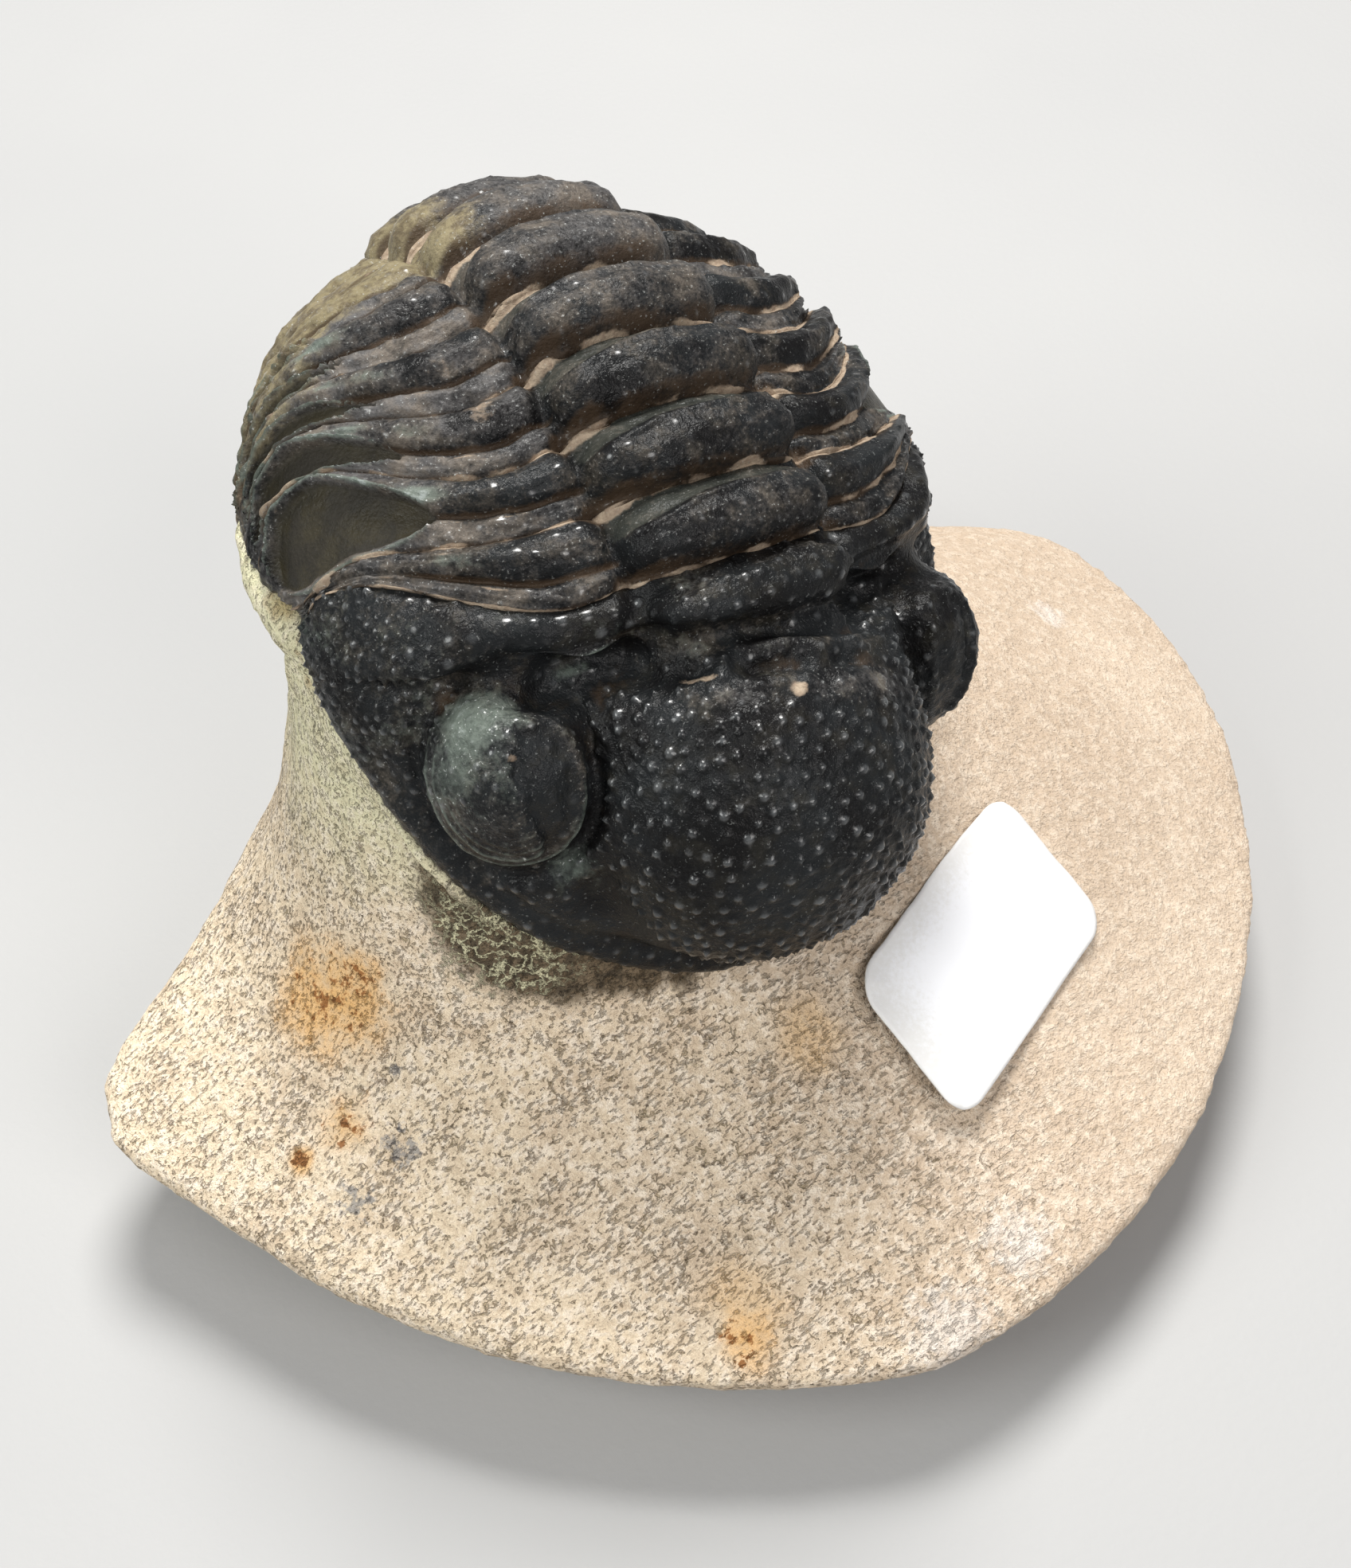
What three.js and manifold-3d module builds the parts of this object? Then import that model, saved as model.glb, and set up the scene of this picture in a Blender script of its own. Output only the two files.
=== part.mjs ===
// A rolled-up trilobite on its limestone matrix, as a collector's specimen. The head faces forward,
// eleven body segments arch over the top, and the tail shield closes the roll behind. The rock fills
// the roll and spreads below it into a fan-shaped slab with a broken back edge and a flat foot.
// Units are millimetres. +Z is up, the head faces -Y, and +X is to the right of someone facing it.
import * as THREE from "three";
import { mergeVertices } from "three/addons/utils/BufferGeometryUtils.js";
import Module from "manifold-3d";

const wasm = await Module();
wasm.setup();

// Where the specimen stands, and how the roll leans in its rock.
const STAND = new THREE.Vector3(-2.65, 2.2, 0); // centres the specimen's box on the origin
const ROLL_ORIGIN = new THREE.Vector3(-1.77, 4.74, 40.36);
const ROLL_YAW = 6.5; // degrees that the head turns towards +X
const ROLL_LEAN = 9; // degrees that the right side hangs lower than the left

// One row for each joint, from the front of the head's rear border to the tip of the tail, in the roll's
// frame: the furrow beside the rings (y, z), then the joint's end at the rib tips (half width, y, z).
const JOINTS = [
  [-14.5, 7.7, 22.8, -0.8, 0.8],
  [-11.3, 10.6, 22.5, 1.3, 2.5],
  [-7, 13.2, 22.9, 3.4, 2.7],
  [-2.2, 15.3, 23, 6.4, 2],
  [3, 16.8, 22.9, 8.9, 2],
  [8.6, 17.5, 22.6, 10.6, 1.6],
  [14.5, 17, 22.1, 12, 0.8],
  [20.2, 15, 21.2, 13.2, -0.3],
  [24.9, 11.7, 20, 14.1, -1.6],
  [28.4, 7.4, 18.5, 14.8, -3],
  [30.4, 2.4, 16.8, 15.2, -4.5],
  [30.9, -2.7, 15, 15.4, -6.1],
  [30.2, -7.6, 13.2, 15.3, -7.7],
  [28.2, -12.6, 11.2, 15, -10.5],
  [24.9, -16.8, 8.4, 14.8, -13.6],
  [20.6, -20, 4, 15.6, -17],
];
const SEGMENTS = 11;
const TAIL_RIBS = 3;
const ARCH_SQUARENESS = 0.9; // 1 is an ellipse across the body, less is boxier
// How strongly each joint is swept back over the flanks, from the head's rear border towards the tail.
const SWEEPS = [0, 0.72, 0.3, 1, 0.95, 0.75, 0.6, 0.4, 0.2, 0.1];
const FIRST_TIP_PINCH = 0.42;

// The shell and its relief.
const SHELL = 2.2;
const GAP = 0.3; // clearance between neighbouring solids
const RING_HALF_WIDTH = 7.4;
const RING_HEIGHT = 3.1;
const RING_GROOVE = 1.3;
const RIB_HEIGHT = 0.9;
const RIB_GROOVE = 0.8;
// How far back the smooth facet near each rib's tip reaches, as a share of the segment's length.
const FACETS = [0, 0, 0.86, 0.62, 0.5, 0.42, 0.36];
const FACET_LEVEL = 0.25; // its height between the rib's groove and crest
const SEGMENT_STATIONS = [0, 0.12, 0.4, 0.55, 0.88, 1]; // from the front edge to the rear edge
const STATIONS_ACROSS = 20;

// The head, in its own frame: its origin is between the cheek corners, and it looks along -Y.
const HEAD_PITCH = 40; // degrees that the head looks down
const HEAD_CORE = new THREE.Vector3(0, -14, 2); // every point of the head's skin is in plain sight from here
const HEAD_LUMPS = [
  { at: [0, 0, 0], radii: [22.8, 28.4, 11.6], power: 2.2 }, // cheeks
  { at: [0, -16.7, 4.6], radii: [12.8, 12.8, 13.4], power: 2.1 }, // forehead
];
const EYE_CENTRE = new THREE.Vector3(15, -12.2, 5.8); // the right one
const EYE_RADII = new THREE.Vector3(4.9, 5.2, 6.8);
const HEAD_BLEND = 0.5; // width of the soft valley between two lumps
const HEAD_FACETS = 8;
const HIDDEN_FACETS = 3; // for the inside of the head, which nobody sees

// The slab's edge seen from above, from its left corner round the front, with its height there.
const SLAB_EDGE = [
  [-44.6, 0.6, 11.8], [-45, -4.4, 11], [-43.1, -8.3, 10.8], [-39, -15.2, 10.6], [-34.7, -20.8, 10.4],
  [-26.6, -29.3, 10], [-16.7, -36.4, 9.6], [-7, -40.4, 9.3], [0.8, -42.2, 9], [7.4, -41.5, 8.8],
  [15.5, -38.8, 8.6], [24.1, -34.6, 8.5], [32.6, -28.1, 8.5], [40.3, -19.5, 8.5], [44.5, -12.9, 8.5],
  [48.2, -4.4, 8.5], [50.4, 5.4, 8.6], [50.2, 14, 8.8], [48.6, 20.8, 9], [45.7, 24.5, 9.4],
  [37.6, 27.4, 10.4], [28, 30.2, 12.4], [17, 31.5, 15], [4, 29.6, 17.6], [-10, 24, 19.5],
  [-26, 14, 19.6], [-34, 8, 16.2], [-41, 3.6, 13.2],
];
const SLAB_SIDES = 52;
const SLAB_HUB = new THREE.Vector2(-2.9, 6); // the slab's slopes run out from here
const NECK_HALF = [21, 21]; // half width and half depth of the rock's neck under the roll
const NECK_SQUARENESS = 2.2;
const NECK_FLARE = 3;
// Stations round the hub, in degrees anticlockwise from +X.
const NECK_TOPS = [
  [0, 37], [30, 37], [60, 27], [120, 27], [150, 37], [185, 45], [200, 42], [220, 35.5], [240, 30.5],
  [268, 25], [300, 24.5], [330, 27.5],
];
const SHOULDERS = [
  [0, 25], [60, 21], [120, 21], [180, 22.5], [215, 22.5], [250, 21.5], [290, 21.5], [325, 24],
];
const FOOT_SHARES = [
  [0, 0.68], [45, 0.9], [90, 0.94], [140, 0.94], [185, 0.6], [225, 0.58], [270, 0.6], [315, 0.62],
];

// The number label stuck on the slab's right side.
const LABEL_HALF = [9.525, 6.35];
const LABEL_CORNER = 2.4;
const LABEL_THICKNESS = 0.35;
const LABEL_CENTRE = new THREE.Vector2(15, -19.5);
const LABEL_TURN = 31; // degrees anticlockwise from above
const LABEL_CURL = 0.8; // how far its left end stands off the rock

const DEGREE = Math.PI / 180;

const materials = {
  shell: new THREE.MeshStandardMaterial({ color: 0x23262a, roughness: 0.42, metalness: 0 }),
  tail: new THREE.MeshStandardMaterial({ color: 0x4a4433, roughness: 0.5, metalness: 0 }),
  rock: new THREE.MeshStandardMaterial({ color: 0xc9b294, roughness: 0.95, metalness: 0 }),
  paper: new THREE.MeshStandardMaterial({ color: 0xf2f2f4, roughness: 0.6, metalness: 0 }),
};

const mix = (a, b, share) => a + (b - a) * share;
const clamp01 = (value) => Math.min(1, Math.max(0, value));
const smooth = (low, high, value) => {
  const t = clamp01((value - low) / (high - low));
  return t * t * (3 - 2 * t);
};

// Moves every vertex of a geometry to where place() puts it.
function reshape(geometry, place) {
  const position = geometry.attributes.position;
  const point = new THREE.Vector3();
  for (let i = 0; i < position.count; i++) {
    const moved = place(point.fromBufferAttribute(position, i));
    position.setXYZ(i, moved.x, moved.y, moved.z);
  }
  return geometry;
}

// A closed body drawn through a row of cross-sections. pointAt(k, s) is corner k of section s.
function loft(corners, sections, pointAt) {
  const centreOf = (s) => {
    const sum = new THREE.Vector3();
    for (let k = 0; k < corners; k++) sum.add(pointAt(k, s));
    return sum.divideScalar(corners);
  };
  return reshape(new THREE.CylinderGeometry(1, 1, 1, corners, sections), (p) => {
    const s = Math.round((p.y + 0.5) * sections);
    if (Math.hypot(p.x, p.z) < 0.5) return centreOf(s);
    const k = Math.round((Math.atan2(p.x, p.z) / (2 * Math.PI)) * corners + corners) % corners;
    return pointAt(k, s);
  });
}

// A geometry as a solid that can be joined and cut, in the frame of the group it belongs to or the world's.
function toSolid(geometry, group) {
  const bare = geometry.index ? geometry.toNonIndexed() : geometry.clone();
  bare.deleteAttribute("normal");
  bare.deleteAttribute("uv");
  if (group) bare.applyMatrix4(group.matrixWorld);
  const merged = mergeVertices(bare, 1e-4);
  return new wasm.Manifold(
    new wasm.Mesh({
      numProp: 3,
      vertProperties: merged.attributes.position.array,
      triVerts: new Uint32Array(merged.index.array),
    }),
  );
}

function toGeometry(solid) {
  const mesh = solid.getMesh();
  const geometry = new THREE.BufferGeometry();
  geometry.setAttribute("position", new THREE.BufferAttribute(mesh.vertProperties, 3));
  geometry.setIndex(new THREE.BufferAttribute(mesh.triVerts, 1));
  return geometry;
}

const ringLine = new THREE.CatmullRomCurve3(JOINTS.map(([y, z]) => new THREE.Vector3(0, y, z)));
const tipLine = new THREE.CatmullRomCurve3(JOINTS.map(([, , x, y, z]) => new THREE.Vector3(x, y, z)));
const LAST = JOINTS.length - 1;
const FIRST = LAST - TAIL_RIBS - SEGMENTS; // the joint between the head and the first segment

// The body without its relief. u counts joints from the head, and q runs from -1 at the left tips to 1.
function body(u, q) {
  const ring = ringLine.getPoint(clamp01(u / LAST));
  const tip = tipLine.getPoint(clamp01(u / LAST));
  const turn = Math.min(1, Math.abs(q)) * 90 * DEGREE;
  const rise = Math.cos(turn) ** ARCH_SQUARENESS - Math.max(0, Math.abs(q) - 1);
  const out = Math.sign(q) * Math.sin(turn) ** ARCH_SQUARENESS;
  return new THREE.Vector3(tip.x * out, mix(tip.y, ring.y, rise), mix(tip.z, ring.z, rise));
}

// The direction that the body's skin faces at u, q.
function facing(u, q) {
  const side = Math.max(-0.97, Math.min(0.97, q));
  const back = Math.min(LAST - 0.02, Math.max(0.02, u));
  const along = body(back + 0.02, side).sub(body(back - 0.02, side));
  const across = body(back, side + 0.02).sub(body(back, side - 0.02));
  return across.cross(along).normalize();
}

// A joint's u at q. The ribs' outer ends slid under each other as the animal rolled up, so there the
// joints run further back, and the second segment shows a broad facet. The first segment's tips are
// pinched between the head's rear corners and that facet, so its rear joint turns forwards there.
function jointAt(joint, q) {
  const side = Math.abs(q);
  const dip = 0.2 * Math.exp(-(((side - 0.3) / 0.1) ** 2));
  const back = 1.2 * smooth(0.36, 0.74, side) - 0.9 * smooth(0.8, 1, side);
  const pinch = joint === FIRST + 1 ? FIRST_TIP_PINCH * smooth(0.66, 0.92, side) : 0;
  return joint + (SWEEPS[joint] ?? 0) * (back - dip) - pinch;
}

// Half the width of the middle lobe, which narrows towards the tail.
function ringHalfWidth(u) {
  return RING_HALF_WIDTH * (1 - 0.6 * smooth(6, LAST, u));
}

// How far the skin of a segment stands out at u, q. v runs from its front edge, or a rib's, to its rear.
function relief(segment, u, q, v) {
  const x = Math.abs(body(u, q).x);
  const half = ringHalfWidth(u);
  const size = 1 - 0.6 * smooth(10, LAST, u);
  const across = x / half;
  if (across < 1) {
    const hump = Math.sin(Math.PI * v) ** 0.6;
    const lobe = Math.sqrt(1 - across * across);
    return (lobe * RING_HEIGHT * mix(0.45, 1, hump) - RING_GROOVE * (1 - hump)) * size;
  }
  const outward = (x - half) / (body(u, 1).x - half);
  const furrow = u < FIRST ? 0 : 0.4;
  const band = v < furrow ? v / furrow : (v - furrow) / (1 - furrow);
  const ribbed = Math.sin(Math.PI * band) ** 0.7 * (v < furrow ? 0.5 : 1);
  const facet = v > 0 && v < (FACETS[segment] ?? 0) ? smooth(0.46, 0.68, Math.abs(q)) : 0;
  const height = mix(ribbed, FACET_LEVEL, facet);
  const fade = 1 - 0.6 * smooth(0.7, 1, outward);
  return (RIB_HEIGHT * height - RIB_GROOVE * (1 - height)) * fade * size;
}

const shellDepth = (q) => SHELL * (1 - 0.5 * Math.min(1, Math.abs(q)) ** 3);

// The skin moved out by some distance along the way that it faces.
const skin = (u, q, out) => body(u, q).addScaledVector(facing(u, q), out);

// A segment or the tail shield: its relief outside and a plain face inside, between two joints.
function plate(from, to, stations, ribs, across) {
  const inner = Array.from({ length: ribs + 1 }, (_, i) => i / ribs);
  const corners = stations.length + inner.length;
  return loft(corners, across, (k, s) => {
    const q = (2 * s) / across - 1;
    const outside = k < stations.length;
    const v = outside ? stations[stations.length - 1 - k] : inner[k - stations.length];
    const start = jointAt(from, q);
    const end = jointAt(to, q);
    const length = body(end, q).distanceTo(body(start, q));
    const clear = (to === LAST ? GAP : GAP / 2) / length;
    const u = mix(start, end, mix(clear, 1 - clear, v));
    const within = v * ribs - Math.min(ribs - 1, Math.floor(v * ribs));
    return skin(u, q, outside ? relief(from, u, q, within) : -shellDepth(q));
  });
}

// The space round the shell of the roll, which the rock leaves free.
function shellSpace() {
  const rows = LAST - FIRST;
  const across = STATIONS_ACROSS;
  const ends = 1.02;
  return loft(2 * (rows + 1), across, (k, s) => {
    const q = ((2 * s) / across - 1) * ends;
    const outside = k <= rows;
    const u = outside ? LAST - k : FIRST + k - rows - 1;
    const end = u === FIRST ? -0.06 : 0;
    return skin(u + end, q, outside ? 5 : -shellDepth(q) - GAP);
  });
}

// The rock inside the roll, up to just under the shell.
function rollFilling() {
  const across = 14;
  const rows = LAST - FIRST;
  return loft(rows + 1, across, (k, s) => {
    const q = ((2 * s) / across - 1) * 0.93;
    return skin(LAST - k, q, -SHELL - GAP + 0.4);
  });
}

// Distance from a point to the head's skin, roughly in millimetres, negative inside.
function headDistance(point) {
  let sum = 0;
  for (const { at, radii, power } of HEAD_LUMPS) {
    const x = Math.abs(point.x - at[0]) / radii[0];
    const y = Math.abs(point.y - at[1]) / radii[1];
    const z = Math.abs(point.z - at[2]) / radii[2];
    const scaled = (x ** power + y ** power + z ** power) ** (1 / power);
    sum += Math.exp(-((scaled - 1) * Math.min(...radii)) / HEAD_BLEND);
  }
  return -HEAD_BLEND * Math.log(sum);
}

function headBody(out, facets) {
  return reshape(new THREE.IcosahedronGeometry(1, facets), (p) => {
    const way = p.clone().normalize();
    let [near, far] = [1, 60];
    for (let step = 0; step < 30; step++) {
      const middle = (near + far) / 2;
      if (headDistance(HEAD_CORE.clone().addScaledVector(way, middle)) < out) near = middle;
      else far = middle;
    }
    return HEAD_CORE.clone().addScaledVector(way, near);
  });
}

// The wedge in front of the first joint and above the cheeks' lower edge. It grows by the given clearance.
function headSpace(clear, below) {
  const [ringY, ringZ, , tipY, tipZ] = JOINTS[FIRST];
  const lean = Math.atan2(-(ringY - tipY), ringZ - tipZ) - HEAD_PITCH * DEGREE;
  const outline = new THREE.Shape();
  const rear = clear - GAP / 2;
  const corner = [rear / Math.cos(lean) + below * Math.tan(lean), -below];
  outline.moveTo(...corner);
  outline.lineTo(corner[0] - 60 * Math.sin(lean), corner[1] + 60 * Math.cos(lean));
  outline.lineTo(-70, 60);
  outline.lineTo(-70, -below);
  const width = 80;
  const geometry = new THREE.ExtrudeGeometry(outline, { depth: width, bevelEnabled: false });
  // The shape's plane (y, z) is stood upright, and its depth runs along x.
  return geometry.applyMatrix4(
    new THREE.Matrix4().set(0, 0, 1, -width / 2, 1, 0, 0, 0, 0, 1, 0, 0, 0, 0, 0, 1),
  );
}

const edgePoints = SLAB_EDGE.map((p) => new THREE.Vector3(...p));
const edgeCurve = new THREE.CatmullRomCurve3(edgePoints, true, "centripetal");
const edge = edgeCurve.getSpacedPoints(SLAB_SIDES).slice(0, SLAB_SIDES).map((p) => {
  const way = new THREE.Vector2(p.x, p.y).sub(SLAB_HUB);
  return { bearing: (way.angle() / DEGREE) % 360, distance: way.length(), height: p.z };
});

// The edge of the slab at a bearing from the hub.
function edgeAt(bearing) {
  const turn = ((bearing % 360) + 360) % 360;
  for (let i = 0; i < edge.length; i++) {
    const a = edge[i];
    const b = edge[(i + 1) % edge.length];
    const span = (((b.bearing - a.bearing) % 360) + 360) % 360;
    const into = (((turn - a.bearing) % 360) + 360) % 360;
    if (into <= span + 1e-9) {
      const share = into / span;
      return { distance: mix(a.distance, b.distance, share), height: mix(a.height, b.height, share) };
    }
  }
  return edge[0];
}

// The value at a bearing of a table of [bearing, value] stations.
function round(bearing, stations) {
  const turn = ((bearing % 360) + 360) % 360;
  for (let i = 0; i < stations.length; i++) {
    const [from, low] = stations[i];
    const [to, high] = i + 1 < stations.length ? stations[i + 1] : [360, stations[0][1]];
    if (turn >= from && turn <= to) return mix(low, high, smooth(from, to, turn));
  }
  return stations[0][1];
}

function neckDistance(bearing, limit) {
  const c = Math.abs(Math.cos(bearing * DEGREE) / NECK_HALF[0]);
  const s = Math.abs(Math.sin(bearing * DEGREE) / NECK_HALF[1]);
  return Math.min((c ** NECK_SQUARENESS + s ** NECK_SQUARENESS) ** (-1 / NECK_SQUARENESS), limit - 2);
}

// The slab's upper surface at a bearing and a distance from its hub.
function slabTop(bearing, distance) {
  const rim = edgeAt(bearing);
  const neck = neckDistance(bearing, rim.distance);
  const top = round(bearing, NECK_TOPS);
  const shoulder = Math.max(round(bearing, SHOULDERS), rim.height + 0.5);
  if (distance <= neck) return top;
  const down = (distance - neck) / (rim.distance - neck);
  const flare = Math.max(0, top - shoulder) * Math.exp(-(distance - neck) / NECK_FLARE);
  return mix(shoulder, rim.height, down) + flare * (1 - down);
}

function slab() {
  const undersides = [0, 0.35, 0.7, 0.93];
  const tops = [1, 0.92, 0.74, 0.52, 0.34, 0.2, 0.1, 0.02];
  const sections = undersides.length + tops.length;
  return loft(SLAB_SIDES, sections, (k, s) => {
    const { bearing, distance, height } = edge[k];
    const way = new THREE.Vector2(Math.cos(bearing * DEGREE), Math.sin(bearing * DEGREE));
    const neck = neckDistance(bearing, distance);
    let out = neck * 0.94;
    let z = slabTop(bearing, out);
    if (s < undersides.length) {
      const turn = undersides[s] * 90 * DEGREE;
      out = mix(round(bearing, FOOT_SHARES), 0.99, Math.sin(turn)) * distance;
      z = (height - 1) * (1 - Math.cos(turn)) * 1.05;
    } else if (s - undersides.length < tops.length) {
      out = mix(neck, distance, tops[s - undersides.length]);
      z = slabTop(bearing, out);
    }
    return new THREE.Vector3(SLAB_HUB.x + way.x * out, SLAB_HUB.y + way.y * out, z);
  });
}

const slabTopAt = (x, y) => {
  const way = new THREE.Vector2(x, y).sub(SLAB_HUB);
  return slabTop(way.angle() / DEGREE, way.length());
};

// A corner centre of the label's outline, on one side of its middle or the other.
const labelSide = (half, way) => Math.sign(way) * (half - LABEL_CORNER) * smooth(0, 0.35, Math.abs(way));

// The paper label, which follows the slope under it. A sphere's upper half becomes its face.
function label() {
  const along = new THREE.Vector2(1, 0).rotateAround(new THREE.Vector2(), LABEL_TURN * DEGREE);
  const up = new THREE.Vector2(-along.y, along.x);
  const { x, y } = LABEL_CENTRE;
  const climb = (way) => (slabTopAt(x + way.x, y + way.y) - slabTopAt(x - way.x, y - way.y)) / 2;
  along.divideScalar(Math.hypot(1, climb(along)));
  up.divideScalar(Math.hypot(1, climb(up)));
  const steepness = Math.hypot(1, climb(along), climb(up));
  return reshape(new THREE.SphereGeometry(1, 24, 7), (p) => {
    const share = Math.min(1, Math.hypot(p.x, p.z) * 1.03);
    const turn = Math.atan2(-p.z, p.x);
    const a = (labelSide(LABEL_HALF[0], Math.cos(turn)) + LABEL_CORNER * Math.cos(turn)) * share;
    const b = (labelSide(LABEL_HALF[1], Math.sin(turn)) + LABEL_CORNER * Math.sin(turn)) * share;
    const place = LABEL_CENTRE.clone().addScaledVector(along, a).addScaledVector(up, b);
    const curl = LABEL_CURL * smooth(0.35, 1, -a / LABEL_HALF[0]);
    const lift = (GAP + (p.y > 0 ? LABEL_THICKNESS : 0)) * steepness + curl;
    return new THREE.Vector3(place.x, place.y, slabTopAt(place.x, place.y) + lift);
  });
}

const specimen = new THREE.Group();
specimen.position.copy(STAND);
const roll = new THREE.Group();
roll.position.copy(ROLL_ORIGIN);
roll.rotation.set(0, ROLL_LEAN * DEGREE, ROLL_YAW * DEGREE, "ZYX");
specimen.add(roll);
const head = new THREE.Group();
head.position.set(0, JOINTS[FIRST][3], JOINTS[FIRST][4]);
head.rotation.x = HEAD_PITCH * DEGREE;
roll.add(head);

function add(parent, name, geometry, material) {
  const mesh = new THREE.Mesh(geometry, material);
  mesh.name = name;
  parent.add(mesh);
  return mesh;
}

specimen.updateMatrixWorld(true);

for (let i = 0; i < SEGMENTS; i++) {
  const name = "thoracic_segment_" + String(i + 1).padStart(2, "0");
  add(roll, name, plate(FIRST + i, FIRST + i + 1, SEGMENT_STATIONS, 1, STATIONS_ACROSS), materials.shell);
}
const tailStations = [0, 0.16, 0.333, 0.5, 0.667, 0.84, 1];
const tail = plate(LAST - TAIL_RIBS, LAST, tailStations, TAIL_RIBS, STATIONS_ACROSS);
add(roll, "pygidium", tail, materials.tail);

// The solids below are joined and cut in the specimen's own frame. Its place in the world comes last.
const toSpecimen = specimen.matrixWorld.clone().invert();
const headBorder = plate(0, FIRST, [0, 0.3, 0.7, 1], 1, STATIONS_ACROSS);
const eye = new THREE.SphereGeometry(1, 14, 10).scale(...EYE_RADII.toArray());
const rightEye = eye.clone().translate(...EYE_CENTRE.toArray());
const leftEye = eye.clone().translate(-EYE_CENTRE.x, EYE_CENTRE.y, EYE_CENTRE.z);
const headShell = toSolid(headBody(0, HEAD_FACETS), head)
  .add(toSolid(rightEye, head))
  .add(toSolid(leftEye, head))
  .intersect(toSolid(headSpace(0, 0), head))
  .subtract(toSolid(shellSpace(), roll))
  .add(toSolid(headBorder, roll))
  .subtract(toSolid(headBody(-SHELL, HIDDEN_FACETS), head));
add(specimen, "cephalon", toGeometry(headShell).applyMatrix4(toSpecimen), materials.shell);

const headInside = toSolid(headBody(-SHELL - GAP, HIDDEN_FACETS), head);
const headFilling = headInside.intersect(toSolid(headSpace(1, 30), head));
const headClearance = toSolid(headBody(3, HIDDEN_FACETS), head)
  .intersect(toSolid(headSpace(GAP, GAP), head))
  .subtract(headInside);
const rock = toSolid(slab(), specimen)
  .add(toSolid(rollFilling(), roll))
  .add(headFilling)
  .subtract(headClearance)
  .subtract(toSolid(shellSpace(), roll));
add(specimen, "matrix_stone", toGeometry(rock).applyMatrix4(toSpecimen), materials.rock);
add(specimen, "specimen_label", label(), materials.paper);

export default specimen;
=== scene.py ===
# %% [markdown]
# # An enrolled trilobite on its limestone
# A trilobite that rolled itself up before it was buried, freed from its rock by a preparator. The
# head looks down over a fan-shaped slab, and the ribbed body arches behind it. This lesson dresses
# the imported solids: each shield gets its fine relief, its grain and its colour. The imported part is
# loaded first, because every piece has to stand exactly where its solid stands.

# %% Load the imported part
import math

import bmesh
import bpy
import numpy as np
from mathutils import Matrix, Vector, noise
from mathutils.bvhtree import BVHTree
from mathutils.kdtree import KDTree


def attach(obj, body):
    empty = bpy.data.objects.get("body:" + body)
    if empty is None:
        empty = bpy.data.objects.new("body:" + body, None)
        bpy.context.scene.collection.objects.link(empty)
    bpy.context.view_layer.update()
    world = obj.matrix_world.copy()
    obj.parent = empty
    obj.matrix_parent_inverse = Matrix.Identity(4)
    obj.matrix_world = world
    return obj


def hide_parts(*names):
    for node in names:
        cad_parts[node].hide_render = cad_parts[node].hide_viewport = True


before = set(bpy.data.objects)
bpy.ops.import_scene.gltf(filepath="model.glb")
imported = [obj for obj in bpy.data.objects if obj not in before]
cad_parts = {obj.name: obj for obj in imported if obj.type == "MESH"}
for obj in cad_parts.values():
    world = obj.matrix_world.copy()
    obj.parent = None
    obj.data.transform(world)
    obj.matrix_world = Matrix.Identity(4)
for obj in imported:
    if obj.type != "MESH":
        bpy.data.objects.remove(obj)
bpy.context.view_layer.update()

MM = 0.001


def put(name, data):
    """Puts an object that holds this data into the scene."""
    made = bpy.data.objects.new(name, data)
    bpy.context.scene.collection.objects.link(made)
    return made


def finished(bm, name):
    """A mesh of what the bmesh holds. The bmesh is then let go."""
    mesh = bpy.data.meshes.new(name)
    bm.to_mesh(mesh)
    bm.free()
    return mesh


# %% [markdown]
# ## The camera, the light and the floor
# The photograph was taken by hand from above the left cheek. A camera can be matched by eye, but
# here its bearing, height and distance were worked out from the slab's outline, so they are typed
# in as numbers. The long side of the frame gets a 36 mm sensor, so the lens is a true focal length.

# %% Point a camera from a bearing and a height
CAMERA_TARGET = Vector((-2.65, 2.2, 23)) * MM
CAMERA_BEARING = math.radians(-24.7)
CAMERA_HEIGHT = math.radians(50)
CAMERA_DISTANCE = 156.4 * MM
FOCAL_LENGTH = 49.73
SENSOR_HEIGHT = 36

camera_data = bpy.data.cameras.new("camera")
camera_data.sensor_fit = "VERTICAL"
camera_data.sensor_height = SENSOR_HEIGHT
camera_data.lens = FOCAL_LENGTH
camera_data.clip_start = 0.005
camera = put("camera", camera_data)
towards_camera = Vector((
    math.sin(CAMERA_BEARING) * math.cos(CAMERA_HEIGHT),
    -math.cos(CAMERA_BEARING) * math.cos(CAMERA_HEIGHT),
    math.sin(CAMERA_HEIGHT),
))
camera.location = CAMERA_TARGET + towards_camera * CAMERA_DISTANCE
camera.rotation_euler = (-towards_camera).to_track_quat("-Z", "Y").to_euler()
bpy.context.scene.camera = camera
print("camera at", [round(1000 * c) for c in camera.location], "mm")

# %% [markdown]
# Soft light from large area lamps shows relief without hard shadows. The main one hangs behind
# the fossil, as the room's lamp did, so each tubercle catches a small glint on its upper side and the
# slab's front throws its shadow towards the viewer. A weak one in front keeps the black shell readable.

# %% Hang the lamps
AIR_LIGHT = 0.26


def lamp(name, place, size, power, colour):
    data = bpy.data.lights.new(name, "AREA")
    data.shape = "DISK"
    data.size = size
    data.energy = power
    data.color = colour
    made = put(name, data)
    made.location = place
    made.rotation_euler = (CAMERA_TARGET - made.location).to_track_quat("-Z", "Y").to_euler()


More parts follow.
